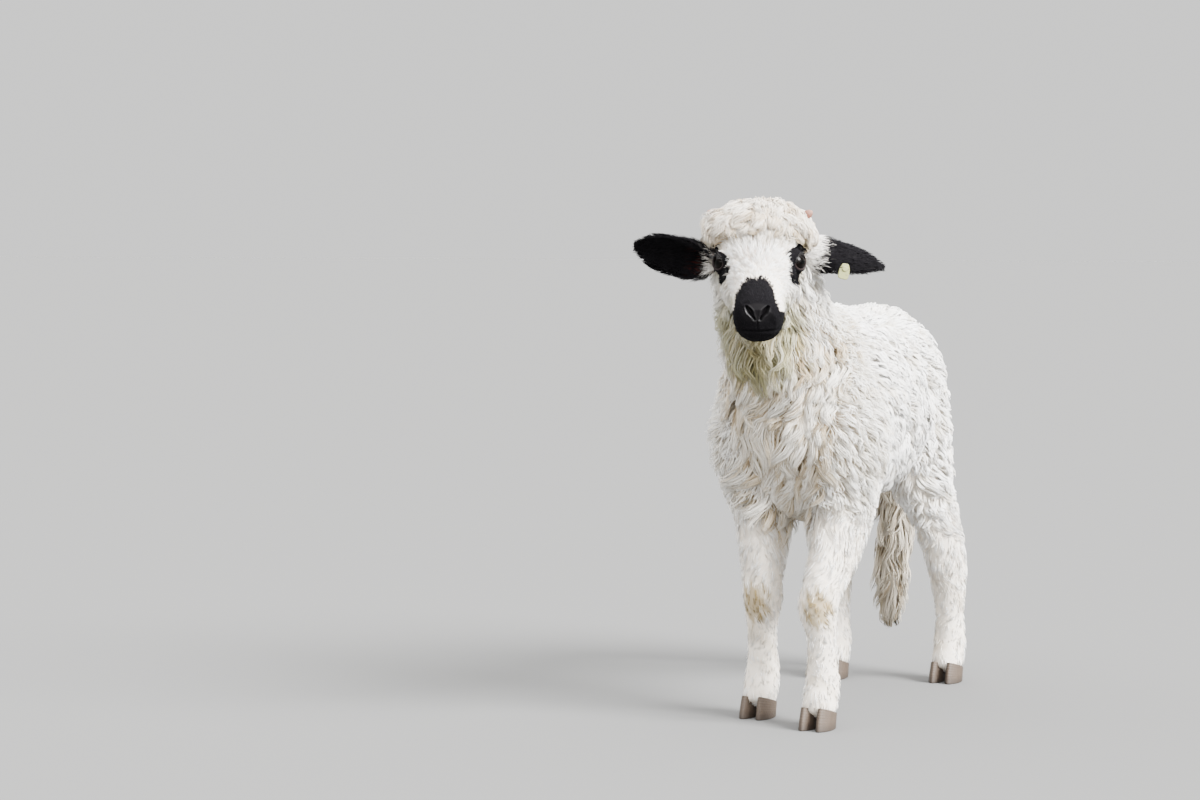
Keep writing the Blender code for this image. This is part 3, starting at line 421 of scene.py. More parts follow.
spots = read(head)
kept = (spots[:, 1] < MUZZLE_AT) | (gap_to_eye(spots) < LID_MARGIN)
coarser = head.vertex_groups.new(name="coarser")
coarser.add(np.flatnonzero(~kept).tolist(), 1.0, "REPLACE")
thinned = head.modifiers.new("thinned", "DECIMATE")
thinned.ratio, thinned.vertex_group, thinned.vertex_group_factor = THINNED_TO, "coarser", 10.0
bake(head)
head.data.transform(head_pose)
print("head skin thinned to", len(head.data.polygons), "faces")

# %% Body and head in one
skin = combine(body, [head])
skin.name = skin.data.name = "skin"
skin.modifiers.new("triangles", "TRIANGULATE")
bake(skin)
print("skin", len(skin.data.polygons), "triangles")

# %% [markdown]
# ## Nostrils, lips and where everything is
# The nostrils are slits that meet in a V, with a groove down to the mouth. They are pressed into the skin
# by moving its points back, which keeps the skin whole, where cutting would open it.

# %% Nostrils, groove and mouth
NOSE_MIDDLE = -0.0014  # the lamb's nose stands a little to its right
NOSTRIL_TOP, NOSTRIL_FOOT = np.array([0.0122, -0.0590]), np.array([0.0032, -0.0748])  # x, and height face on
FACE_SLANT = 0.497  # how much a point's height as seen face on drops for each metre it lies forward
MOUTH_FRONT, MOUTH_CORNER = (-0.106, -0.0365), (-0.058, -0.0400)  # how far back and how high, in the head
INTO_HEAD = np.array([0, 0.030, -0.028])  # the point of the head towards which grooves are pressed
NOSTRIL_DEEP, GROOVE_DEEP, MOUTH_DEEP = 0.0052, 0.0010, 0.0011
RIM_HIGH, LIPS_HIGH = 0.0009, 0.0004  # how far the nostril's rim and the lips stand out


def height_of(local):
    """The height of points of the head as they are seen from straight in front of it."""
    return local[:, 2] + FACE_SLANT * local[:, 1]


def groove(distance, width):
    """1 in the middle of a groove and 0 well outside it, as exp(-(distance / width) ** 2)."""
    return np.exp(-((distance / width) ** 2))


points = read(skin)
local = in_head(points)
height = height_of(local)
across = np.abs(local[:, 0] - NOSE_MIDDLE)
seen = np.stack([across, height], axis=-1)
slit = NOSTRIL_FOOT - NOSTRIL_TOP
share = np.clip(((seen - NOSTRIL_TOP) @ slit) / (slit @ slit), 0, 1)
from_slit = np.linalg.norm(seen - NOSTRIL_TOP - share[:, None] * slit, axis=-1)
front = step(local[:, 1], -0.078, -0.090)
nostril_width = 0.0010 + 0.0018 * np.sin(math.pi * np.clip(0.10 + 1.1 * share, 0, 1)) ** 1.5
nostril = front * groove(from_slit, nostril_width)
nostril_rim = front * groove(from_slit - nostril_width - 0.0016, 0.0011)
philtrum = step(local[:, 1], -0.092, -0.100) * groove(across, 0.0009) * step(height, -0.071, -0.075)
philtrum = philtrum * step(height, -0.0895, -0.0870)
lip_line = np.interp(local[:, 1], (MOUTH_FRONT[0], MOUTH_CORNER[0]), (MOUTH_FRONT[1], MOUTH_CORNER[1]))
mouth = groove(local[:, 2] - lip_line, 0.0010) * step(local[:, 1], -0.054, -0.062)
lips = groove(np.abs(local[:, 2] - lip_line) - 0.0036, 0.0020) * step(local[:, 1], -0.058, -0.070)
inwards = unit(INTO_HEAD - local) * (local[:, 1:2] < -0.045)
pressed = NOSTRIL_DEEP * nostril - RIM_HIGH * nostril_rim + GROOVE_DEEP * philtrum
pressed = pressed + MOUTH_DEEP * mouth - LIPS_HIGH * lips
local = local + inwards * pressed[:, None]
points = turned(local) + HEAD_TO_WORLD[:3, 3]
leather = front * step(np.hypot(across / 0.0165, (height + 0.0665) / 0.0125), 1.15, 0.85)
skin.data.vertices.foreach_set("co", points.ravel())
skin.data.update()
skin.data.shade_smooth()
print("deepest press", round(float(pressed.max()), 4))

# %% Where each point of the skin is
def nearest_tube(points):
    """For each point: the tube it belongs to, how near, the coat's depth there and the way the tube runs.

    How near is the point's offset from the nearest section's middle, as a share of that section's half sizes
    and a centimetre: sqrt((across / wide)^2 + (other / deep)^2), and more past a tube's end.
    """
    best = np.full(len(points), np.inf)
    which, depth, down = np.zeros(len(points), int), np.zeros(len(points)), np.zeros((len(points), 3))
    for index, table in enumerate(TUBES.values()):
        rows = along(table, 40)
        middle, way, across, other = tube_frame(rows)
        station = np.argmin(((points[:, None] - middle) ** 2).sum(-1), axis=1)
        offset = points - middle[station]
        lying = (offset * way[station]).sum(-1)
        value = np.sqrt(((offset * across[station]).sum(-1) / (rows[station, 3] + 0.01)) ** 2
                        + ((offset * other[station]).sum(-1) / (rows[station, 4] + 0.01)) ** 2
                        + (lying / 0.03) ** 2 * (np.abs(lying) > 0.012))
        closer = value < best
        best = np.where(closer, value, best)
        which = np.where(closer, index, which)
        depth = np.where(closer, rows[station, 5], depth)
        down = np.where(closer[:, None], way[station], down)
    return which, best, depth, down


def on_head(points):
    """1 for points nearer to the head's own form, as a share of its size, than to any tube; 0 elsewhere."""
    local = in_head(points)
    x, y, z = local.T
    order = HEAD[::-1]
    top, bottom, half, widest = (np.interp(y, order[:, 0], order[:, column]) for column in (1, 2, 3, 4))
    height = np.where(z > widest, top - widest, widest - bottom)
    value = (np.abs(x / half) ** 2.1 + np.abs((z - widest) / height) ** 2.1) ** 0.48
    value = value + np.maximum(0, y - 0.07) / 0.01
    crown = np.sqrt((((local - CROWN_AT) / CROWN_SIZE) ** 2).sum(-1))
    near = np.minimum(value, crown)
    reachable = (y < 0.090) & (np.linalg.norm(local, axis=1) < 0.130)
    return 1.0 * (reachable & ((near < nearest_tube(points)[1]) | (y < -0.030)))


tube_index, _, coat_depth, tube_down = nearest_tube(points)
names = list(TUBES)
is_head = on_head(points)
is_leg = np.isin(tube_index, [names.index(foot) for foot in SIDES_OF_FEET]) * (1 - is_head)
is_tail = (tube_index == names.index("tail")) * (1 - is_head)
print("points on head", int(is_head.sum()), "legs", int(is_leg.sum()), "tail", int(is_tail.sum()))

# %% [markdown]
# ## Markings
# The black of nose and eyes is no paint on the skin: the hair itself is black. A painted picture would have
# to meet at every seam of every piece. So functions of the place say how dark each point is, and both the
# skin and every tuft ask them, the tuft at its root.

# %% Black patches and stained knees
MUZZLE = np.array([  # height face on, how far the black reaches to the lamb's right and left
    (-0.1200, 0.0450, 0.0450),
    (-0.0750, 0.0400, 0.0400),
    (-0.0670, 0.0340, 0.0340),
    (-0.0640, 0.0300, 0.0245),
    (-0.0570, 0.0280, 0.0220),
    (-0.0440, 0.0262, 0.0190),
    (-0.0350, 0.0228, 0.0162),
    (-0.0290, 0.0192, 0.0142),
    (-0.0245, 0.0148, 0.0110),
    (-0.0215, 0.0100, 0.0070),
    (-0.0200, 0.0, 0.0),
])
INNER_EDGE = {  # height face on, and how far from the middle the black round each eye starts
    "left": ((-0.0200, -0.0050, 0.0066, 0.0123, 0.0222), (0.0290, 0.0290, 0.0288, 0.0320, 0.0440)),
    "right": ((-0.0245, -0.0189, 0.0038, 0.0108, 0.0164), (0.0355, 0.0336, 0.0343, 0.0399, 0.0480)),
}
KNEES = {  # height, half height, and how far the stain lies to the lamb's left of its leg
    "fore_left": (0.150, 0.024, 0.006),
    "fore_right": (0.146, 0.025, 0.0),
}
KNEE_WIDE, KNEE_DEEP, KNEE_AHEAD = 0.019, 0.024, 0.030  # the stain's half sizes, and how far forward it lies


def from_eye_black(local):
    """How far points lie outside the black round the eyes and the drop below it; less than 0 within."""
    x, y, height = np.abs(local[:, 0]), local[:, 1], height_of(local)
    around = np.hypot((y - 0.0025) / 0.0210, (local[:, 2] - 0.002) / 0.0190)
    left, right = (np.interp(height, *INNER_EDGE[side]) for side in SIDES)
    patch = np.maximum(0.019 * (around - 1.05), np.where(local[:, 0] > 0, left, right) - x)
    half = np.interp(height, (-0.0300, -0.0240, -0.0160, -0.0100), (0.0010, 0.0050, 0.0090, 0.0110))
    drop = np.maximum.reduce([np.abs(x - 0.0440) - half, -0.0300 - height, height + 0.006, y - 0.007])
    return np.minimum(patch, drop)


def black_marks(local):
    """The muzzle, the patches round the eyes, and a small lobe below the left eye."""
    x, height = np.abs(local[:, 0]), height_of(local)
    ragged = 0.0006 * (np.sin(900 * local[:, 0] + 3) + np.sin(1300 * local[:, 2] + 700 * local[:, 1]))
    to_right, to_left = (np.interp(height, MUZZLE[:, 0], MUZZLE[:, column]) for column in (1, 2))
    width = np.where(local[:, 0] < 0, to_right, to_left)
    muzzle = step(x + ragged, width + 0.0008, width - 0.0008) * step(local[:, 1] + 3 * ragged, -0.054, -0.060)
    muzzle = muzzle * (height < -0.0198)
    patch = step(from_eye_black(local) + ragged, 0.0010, -0.0008)
    lobe = step(np.hypot(x - 0.0365, 0.5 * (height + 0.020)), 0.0035, 0.0022) * (local[:, 0] > 0)
    return np.maximum.reduce([muzzle, patch, lobe])


def near_head(local):
    """1 up to 12 cm from the point between the eyes, and 0 from 15 cm."""
    return step(np.linalg.norm(local, axis=1), 0.15, 0.12)


def under_jaw(local):
    """1 in the hollow under the jaw, where moss and tan partly paint its shade."""
    below = step(np.linalg.norm(local, axis=1), 0.140, 0.105) * step(local[:, 2], -0.038, -0.052)
    below = below * step(local[:, 1], -0.098, -0.080) * step(local[:, 1], 0.045, 0.020)
    return below * step(np.abs(local[:, 0]), 0.046, 0.030)


def moss_marks(local, close):
    """Greenish: the wool round the muzzle, under the jaw partly as painted shade, and the hair below and
    behind the eyes.
    """
    x, height = np.abs(local[:, 0]), height_of(local)
    ring = np.hypot(local[:, 0] / 0.030, (height + 0.066) / 0.040)
    wool_round = near_head(local) * step(ring, 0.95, 1.05) * step(ring, 1.95, 1.20)
    wool_round = wool_round * step(height, -0.036, -0.060)
    below_eye = groove(np.hypot(x - 0.0440, 0.6 * (height + 0.033)), 0.0035)
    behind_eye = groove(from_eye_black(local) - 0.003, 0.003) * (x > 0.045)
    by_eye = close * np.maximum(0.9 * below_eye, 0.5 * behind_eye)
    return np.maximum.reduce([wool_round, by_eye, 0.7 * under_jaw(local)])


def tan_marks(local, close):
    """Tan on the head: rusty wool at the lower lip, painted shade with a rusty tint under the jaw, and the
    fringe over the forehead.
    """
    x, height = np.abs(local[:, 0]), height_of(local)
    lip = near_head(local) * groove(np.hypot(local[:, 0] / 0.020, (height + 0.106) / 0.008), 1.0)
    # Painted shade with a rusty tint, under the jaw.
    jaw = under_jaw(local) * groove(local[:, 0], 0.014)
    fringe = close * 0.40 * step(height, 0.012, 0.024) * step(height, 0.062, 0.035) * step(x, 0.055, 0.035)
    return np.maximum.reduce([0.7 * lip, 0.7 * jaw, fringe])


def stains_and_shade(points):
    """Tan on the body: waved stains on the knees, painted shade in streaks on the shanks, painted shade and
    dirt between the fore legs.
    """
    x, y, z = (points - FEET_MIDDLE).T
    # Painted shade: slanting streaks down the shanks.
    streaks = step(np.sin(90 * x + 60 * z) + 0.6 * np.sin(230 * y + 170 * z), 0.2, 1.3)
    stain = 0.35 * streaks * step(z, 0.160, 0.110) * step(z, 0.030, 0.045)
    # Painted shade with some dirt, between the fore legs.
    between = 0.32 * groove(np.hypot(x / 0.030, (z - 0.262) / 0.028), 1.0) * step(y, -0.10, -0.14)
    stain = np.maximum(stain, between)
    for foot, (level, half, shift) in KNEES.items():
        side, track, back = SIDES_OF_FEET[foot]
        offset = points - FEET_MIDDLE - [side * track + shift, back - KNEE_AHEAD, level]
        spread = (offset / [KNEE_WIDE, KNEE_DEEP, half]) ** 2
        swirl = 0.5 * np.sin(260 * offset[:, 2] + 420 * offset[:, 0]) + 0.2 * np.sin(900 * offset[:, 0])
        stain = np.maximum(stain, 0.95 * step(spread.sum(-1) + swirl, 1.6, 0.4))
    return stain


def markings(points):
    """How black, tan, mossy and pink each point is, from 0 to 1; tan and moss hold some painted shade too."""
    local, close = in_head(points), on_head(points)
    forehead = close * step(local[:, 1], -0.045, -0.020) * step(local[:, 1], 0.030, 0.0)
    return {
        "black": black_marks(local) * close,
        "tan": np.maximum(tan_marks(local, close), stains_and_shade(points)),
        "moss": moss_marks(local, close),
        "pink": forehead * step(np.abs(local[:, 0]), 0.032, 0.004),
    }


def store(item, **fields):
    """Keep arrays on an object's points as named attributes."""
    for name, values in fields.items():
        item.data.attributes.new(name, "FLOAT", "POINT").data.foreach_set("value", values.astype(np.float32))


marks = markings(points)
chest = step(points[:, 1] - FEET_MIDDLE[1], -0.115, -0.175) * step(points[:, 2], 0.245, 0.262)
# Deep is painted shade: the skin darkens where the coat is deep, most of all under the chest's long locks.
deep = (1 - is_head) * step(coat_depth, 0.006, 0.012) * (0.12 + 0.88 * chest)
store(skin, leather=leather, wet=leather * nostril_rim, deep=deep, **marks)
print("black share of the head", round(float(marks["black"].sum() / is_head.sum()), 3))

# %% [markdown]
# ## An unwrap of the skin
# An exported finish ends up as a texture, and a texture needs a map. Unwrapping every tuft by itself would
# need more room than any texture has. So only the surface below the tufts is unwrapped, and each tuft
# carries one small patch of its map, at the place where the tuft's root stands.

# %% Unwrapping
def unwrap(item):
    """Unwrap by the faces' directions into islands, as the map OFBake."""
    item.data.uv_layers.new(name="OFBake")
    bpy.context.view_layer.objects.active = item
    item.select_set(True)
    bpy.ops.object.mode_set(mode="EDIT")
    bpy.ops.mesh.select_all(action="SELECT")
    bpy.ops.uv.smart_project(angle_limit=math.radians(66), island_margin=0.001)
    bpy.ops.object.mode_set(mode="OBJECT")
    item.select_set(False)


def read_uv(item):
    """The OFBake map of an object, a row for each corner of a face."""
    layer = item.data.uv_layers["OFBake"].uv
    values = np.empty(len(layer) * 2)
    layer.foreach_get("vector", values)
    return values.reshape(-1, 2)


unwrap(skin)
print("unwrapped to", np.round(np.ptp(read_uv(skin), axis=0), 3).tolist(), "of the map")

# %% [markdown]
# ## How a coat is grown
# A tuft is a path that leaves its root, follows the skin in the way the coat lies, lifts off it and curls.
# Around the path goes a flat three-sided blade that tapers to a point. All tufts of a coat are worked out
# at once: an array has a row for each tuft and a column for each step along it.

# %% Roots
UV_PATCH = 0.003  # size of a tuft's patch on the unwrap


class Roots:
    """Random places on a surface: a triangle by chance of its area * weight, and a random place in it."""

    def __init__(self, item, weight, count, seed):
        rng = np.random.default_rng(seed)
        item.data.calc_loop_triangles()
        corners = read(item, "loop_triangles", "vertices").astype(int)
        loops = read(item, "loop_triangles", "loops").astype(int)
        co, normal = read(item), read(item, "vertices", "normal")
        first, second, third = (co[corners[:, column]] for column in range(3))
        area = np.linalg.norm(np.cross(second - first, third - first), axis=1) * weight[corners].mean(axis=1)
        pick = rng.choice(len(area), count, p=area / area.sum())
        self.corners, self.share = corners[pick], rng.dirichlet((1, 1, 1), count)
        self.spot, self.out = self.of(co), unit(self.of(normal))
        self.uv = (read_uv(item)[loops[pick]] * self.share[..., None]).sum(axis=1)
        self.rng = rng

    def of(self, field):
        """A field of the surface's points, at the roots."""
        share = self.share if field.ndim == 1 else self.share[..., None]
        return (field[self.corners] * share).sum(axis=1)

    def __len__(self):
        return len(self.spot)


# %% Paths
def wrapped(points, target, offset):
    """The nearest points of a target's surface, lifted off it by an offset."""
    mesh = bpy.data.meshes.new("probe")
    mesh.vertices.add(len(points))
    mesh.vertices.foreach_set("co", points.ravel())
    probe = bpy.data.objects.new("probe", mesh)
    bpy.context.scene.collection.objects.link(probe)
    wrap = probe.modifiers.new("wrap", "SHRINKWRAP")
    wrap.target, wrap.wrap_mode, wrap.offset = target, "ABOVE_SURFACE", offset
    found = read(probe.evaluated_get(bpy.context.evaluated_depsgraph_get()))
    bpy.data.objects.remove(probe, do_unlink=True)
    return found


SINK = 0.0015  # how deep a tuft's root stands in the skin
PROBE = 0.003  # how far off the skin the way up is measured


def paths(target, spot, out, lie, length, stand, curl, turns, phase, steps, arch=0.5):
    """base + up * (lift + 0.4 swing sin(a)) + side * swing cos(a), for t from 0 to 1 along each tuft.

    The base is the skin nearest to root + lie * reach * t, lift is (stand + sink) * sin(pi arch t) - sink,
    swing is curl * t^0.8, and a = phase + 2 pi turns t. Gives the paths and the way up at their points.
    """
    t = np.linspace(0, 1, steps)[None, :, None]
    lie = unit(lie - out * (lie * out).sum(-1, keepdims=True))
    reach = np.sqrt(np.maximum(length ** 2 - stand ** 2, (0.3 * length) ** 2))
    flat = spot[:, None] + lie[:, None] * reach[:, None, None] * t
    base = wrapped(flat.reshape(-1, 3), target, 0.0).reshape(flat.shape)
    up = unit(wrapped(flat.reshape(-1, 3), target, PROBE).reshape(flat.shape) - base)
    side = unit(np.cross(up, lie[:, None]))
    angle = phase[:, None, None] + 2 * math.pi * turns[:, None, None] * t
    swing = curl[:, None, None] * t ** 0.8
    lift = (stand[:, None, None] + SINK) * np.sin(arch * math.pi * t) - SINK
    return base + up * (lift + 0.4 * swing * np.sin(angle)) + side * swing * np.cos(angle), up


def owners(spot, centres):
    """The nearest centre of each root, and how far it is."""
    owner = np.concatenate([np.argmin(((chunk[:, None] - centres) ** 2).sum(-1), axis=1)
                            for chunk in np.array_split(spot, 40)])
    return owner, np.linalg.norm(spot - centres[owner], axis=1)


# %% Blades
def blades(path, up, width, flat):
    """Three-sided rings, width * (1 - t^2.4) * (0.75 + 0.25 sin(pi t)) wide, round each path, and a tip.

    Flat is a blade's thickness as a share of its width. Gives the points of every blade, the triangles of
    one, and how far along and across it its points are.
    """
    count, steps = path.shape[:2]
    t = np.linspace(0, 1, steps)[:-1]
    run = unit(np.gradient(path, axis=1))
    side = unit(np.cross(up, run))
    rise = np.cross(run, side)
    profile = (1 - t ** 2.4) * (0.75 + 0.25 * np.sin(math.pi * t))
    half = 0.5 * width[:, None, None, None] * profile[None, :, None, None]
    angle = math.pi * np.array([0.5, 7 / 6, 11 / 6])[None, None, :, None]
    section = side[:, :-1, None] * np.cos(angle) + flat * rise[:, :-1, None] * np.sin(angle)
    rings = path[:, :-1, None] + half * section
    points = np.concatenate([rings.reshape(count, -1, 3), path[:, -1:]], axis=1)
    ring, corner = np.meshgrid(np.arange(steps - 2), np.arange(3), indexing="ij")
    low, after = 3 * ring, (corner + 1) % 3
    a, b, c, d = low + corner, low + after, low + 3 + after, low + 3 + corner
    walls = np.stack([a, b, c, a, c, d], axis=-1).reshape(-1, 3)
    last, corner = 3 * (steps - 2), np.arange(3)
    tip = np.stack([last + corner, last + (corner + 1) % 3, np.full(3, 3 * (steps - 1))], axis=-1)
    triangles = np.concatenate([[[2, 1, 0]], walls, tip])
    along_blade = np.append(np.repeat(t, 3), 1.0)
    across_blade = np.append(np.tile([0, 0.5, 1.0], steps - 1), 0.5)
    return points, triangles, along_blade, across_blade


LIMIT = 190_000  # triangles in one piece
SOFTNESS = 0.62  # how far a blade is shaded like the lock it lies in, as wool scatters light
SPLIT_WAY = [0.3, 1.0, 0.5]  # the pieces of one coat follow one another this way
pieces = []


def coat(name, roots, path, up, width, material, slot, flat=0.6, round_lock=0.0, **fields):
    """Blades along the paths as one or several pieces, with what the finish reads kept on their points."""
    points, triangles, along_blade, across_blade = blades(path, up, width, flat)
    outwards = unit(np.concatenate([np.repeat(up[:, :-1], 3, axis=1), up[:, -1:]], axis=1) + round_lock)
    strand = np.append(np.tile([0.0, 1.0, 1.0], path.shape[1] - 1), 0.5)  # 0 on the ridge, 1 at both edges
    order = np.argsort(roots.spot @ SPLIT_WAY)
    size, total = points.shape[1], len(points) * len(triangles)
    count = math.ceil(total / LIMIT)
    for index, chosen in enumerate(np.array_split(order, count)):
        mesh = bpy.data.meshes.new(name)
        mesh.vertices.add(len(chosen) * size)
        mesh.vertices.foreach_set("co", points[chosen].ravel())
        corners = (triangles[None] + (np.arange(len(chosen)) * size)[:, None, None]).ravel()
        mesh.loops.add(len(corners))
        mesh.loops.foreach_set("vertex_index", corners)
        mesh.polygons.add(len(corners) // 3)
        mesh.polygons.foreach_set("loop_start", np.arange(0, len(corners), 3))
        mesh.update(calc_edges=True)
        mesh.shade_smooth()
        own = np.empty(len(chosen) * size * 3)
        mesh.vertex_normals.foreach_get("vector", own)
        soft = unit((1 - SOFTNESS) * own.reshape(-1, 3) + SOFTNESS * outwards[chosen].reshape(-1, 3))
        mesh.normals_split_custom_set_from_vertices(soft.tolist())
        spot = roots.uv[chosen][:, None] + UV_PATCH * np.stack([across_blade, along_blade], axis=-1)
        mesh.uv_layers.new(name="OFBake").uv.foreach_set("vector", spot.reshape(-1, 2)[corners].ravel())
        piece = bpy.data.objects.new(f"{name}_{index + 1}" if count > 1 else name, mesh)
        bpy.context.scene.collection.objects.link(piece)
        values = {key: np.repeat(value[chosen], size) for key, value in fields.items()}
        store(piece, tip=np.tile(along_blade, len(chosen)), strand=np.tile(strand, len(chosen)), **values)
        piece.data.materials.append(material)
        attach(piece, "root")
        pieces.append(piece)
    print(name, "tufts", len(order), "pieces", count, "triangles", total)


# %% [markdown]
# ## Finishes
# A finish is a small network of nodes. Made node by node and link by link, each would fill a page. Here
# Python expressions write it: a class wraps a socket, so that `1 - mask` or `a * b` adds the Math node that
# does it.

# %% Writing finishes as expressions
class Value:
    """A socket that does sums: each operator adds a Math node."""

    def __init__(self, finish, socket):
        self.finish, self.socket = finish, socket

    def _sum(self, operation, first, second):
        return self.finish.add("ShaderNodeMath", {"operation": operation}, {0: first, 1: second})

    def __add__(self, other):
        return self._sum("ADD", self, other)

    def __rsub__(self, other):
        return self._sum("SUBTRACT", other, self)

    def __mul__(self, other):
        return self._sum("MULTIPLY", self, other)

    __radd__, __rmul__ = __add__, __mul__


class Finish:
    """A material with one Principled shader, whose constants are given by name."""

    def __init__(self, name, **constants):
        self.material = bpy.data.materials.new(name)
        self.material.use_nodes = True
        self.nodes, self.links = self.material.node_tree.nodes, self.material.node_tree.links
        self.shader = self.nodes["Principled BSDF"]
        for socket, value in constants.items():
            self.shader.inputs[socket.replace("_", " ")].default_value = value

    def add(self, kind, settings=None, sockets=None, output=0):
        """A node: its settings first, then its sockets' values or links."""
        node = self.nodes.new(kind)
        for key, value in (settings or {}).items():
            setattr(node, key, value)
        for key, value in (sockets or {}).items():
            self.plug(node.inputs[key], value)
        return Value(self, node.outputs[output])

    def plug(self, socket, value):
        """Link a socket, or set its value."""
        if isinstance(value, Value):
            self.links.new(value.socket, socket)
        elif isinstance(value, tuple) and len(value) == 3 and socket.type == "RGBA":
            socket.default_value = (*value, 1.0)
        else:
            socket.default_value = value

    def field(self, name):
        """An attribute kept on the piece's points."""
        return self.add("ShaderNodeAttribute", {"attribute_name": name}, output=2)

    def mix(self, share, first, second):
        """A colour between two."""
        return self.add("ShaderNodeMix", {"data_type": "RGBA"}, {0: share, 6: first, 7: second}, output=2)

    def ramp(self, value, low, high):
        """A smooth step of a number from 0 at low to 1 at high."""
        return self.add("ShaderNodeMapRange", {"interpolation_type": "SMOOTHSTEP"},
                        {0: value, 1: low, 2: high, 3: 0.0, 4: 1.0})

    def wave(self, value):
        """A sine of a number."""
        return self.add("ShaderNodeMath", {"operation": "SINE"}, {0: value})

    def place(self):
        """The piece's own coordinates."""
        return self.add("ShaderNodeTexCoord", output=3)

    def noise(self, scale, detail=2.0):
        """Soft random spots, of so many to the metre."""
        sockets = {"Vector": self.place(), "Scale": scale, "Detail": detail}
        return self.add("ShaderNodeTexNoise", None, sockets)

    def bump(self, height, strength, distance):
        """Small relief for the shader's normal."""
        sockets = {"Strength": strength, "Distance": distance, "Height": height}
        return self.add("ShaderNodeBump", None, sockets)

    def end(self, **sockets):
        """Plug the shader's varying sockets and give the material."""
        for key, value in sockets.items():
            self.plug(self.shader.inputs[key.replace("_", " ")], value)
        return self.material


# %% Colours of the coat
BLACK, BLACK_TIP = (0.0030, 0.0027, 0.0033), (0.0065, 0.0058, 0.0070)
TAN, MOSS, PINK = (0.245, 0.176, 0.066), (0.27, 0.25, 0.10), (0.72, 0.46, 0.39)


def coat_finish(name, root, middle, tip):
    """Wool or hair: darker and warmer at its root and a lock's edge, as painted shade; no two tufts alike;
    black or tan where marked.
    """
    finish = Finish(name, Roughness=0.9, Specular_IOR_Level=0.08)
    far, tone = finish.field("tip"), finish.field("tone")
    # Fibre lines: faint painted shade between the fibres, and a small bump.
    fibre = finish.wave(18.0 * finish.field("strand"))
    # The root colour is painted shade in the coat's depths: near the root, and where a tuft's tone is low.
    low = finish.mix(finish.ramp(0.7 * far + 0.7 * tone, 0.15, 0.65), root, middle)
    high = finish.mix(finish.ramp(0.5 * far + 0.8 * tone + 0.06 * fibre, 0.40, 0.95), low, tip)
    stained = finish.mix(finish.field("tan"), high, TAN)
    mossy = finish.mix(finish.field("moss") * 0.75, stained, MOSS)
    dark = finish.mix(far, BLACK, BLACK_TIP)
    return finish.end(Base_Color=finish.mix(finish.field("black"), mossy, dark),
                      Normal=finish.bump(fibre, 0.5, 0.0002))


# The first colour of each coat, at its roots, is painted shade in the depths of the coat.
wool = coat_finish("wool", (0.70, 0.64, 0.54), (0.85, 0.82, 0.77), (0.92, 0.91, 0.89))
soft_wool = coat_finish("soft wool", (0.61, 0.53, 0.41), (0.82, 0.77, 0.68), (0.91, 0.89, 0.85))
# Long wool is creamier and darker all through as painted shade, for the chest lies in shade.
long_wool_shaded = coat_finish("long wool, shaded", (0.30, 0.21, 0.115), (0.62, 0.51, 0.36), (0.88, 0.84, 0.76))
crown_wool = coat_finish("crown wool", (0.44, 0.32, 0.20), (0.68, 0.57, 0.44), (0.86, 0.80, 0.71))
hair = coat_finish("white hair", (0.66, 0.57, 0.48), (0.82, 0.77, 0.71), (0.90, 0.89, 0.87))
leg_hair = coat_finish("leg hair", (0.67, 0.58, 0.47), (0.82, 0.78, 0.71), (0.90, 0.88, 0.85))
# Tail wool is partly its own tan and partly painted shade, grey all over, as the tail hangs in shade.
tail_wool_shaded = coat_finish("tail wool, shaded", (0.20, 0.15, 0.095), (0.40, 0.34, 0.25), (0.66, 0.60, 0.50))


def skin_finish():
    """Cream, darker under deep wool as painted shade, pinker between the eyes, black where marked, wet
    leather at the nose.
    """
    finish = Finish("skin", Specular_IOR_Level=0.06, Coat_Roughness=0.30)
    light = finish.mix(finish.noise(160.0), (0.70, 0.62, 0.52), (0.82, 0.76, 0.68))
    # Painted shade under deep wool.
    base = finish.mix(finish.field("deep"), light, (0.54, 0.45, 0.34))
    blushed = finish.mix(finish.field("pink") * 0.5, base, PINK)
    stained = finish.mix(finish.field("tan") * 0.8, blushed, TAN)
    mossy = finish.mix(finish.field("moss") * 0.6, stained, MOSS)
    leathery, relief = finish.field("leather"), finish.noise(1100.0, 3.0)
    dark = finish.mix(leathery, BLACK, (0.0035, 0.003, 0.0035))
    return finish.end(Base_Color=finish.mix(finish.field("black"), mossy, dark),
                      Roughness=0.9 - 0.25 * leathery,
                      Coat_Weight=0.02 * leathery + 0.30 * finish.field("wet"),
                      Normal=finish.bump(relief, 0.5, 0.0006))


skin.data.materials.clear()
skin.data.materials.append(skin_finish())
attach(skin, "root")
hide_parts("torso", "neck", "head", "tail", *("leg_" + foot for foot in SIDES_OF_FEET))

# %% [markdown]
# ## The fleece
# The trunk's fleece stands in small curly locks about a centimetre across. Each tuft belongs to the lock
# whose middle is nearest, and bends into it towards its tip, so that the curls stay together as real wool
# does instead of spreading as even as a brush.

# %% Growing wool in locks
def waves(points, wavelength, seed):
    """A phase that changes smoothly over the body: 2.2 times the sum of five sines in random directions."""
    ways = np.random.default_rng(seed).normal(size=(5, 3)) / wavelength
    return 2.2 * np.sin(points @ ways.T * 2 + np.arange(5)).sum(axis=1)


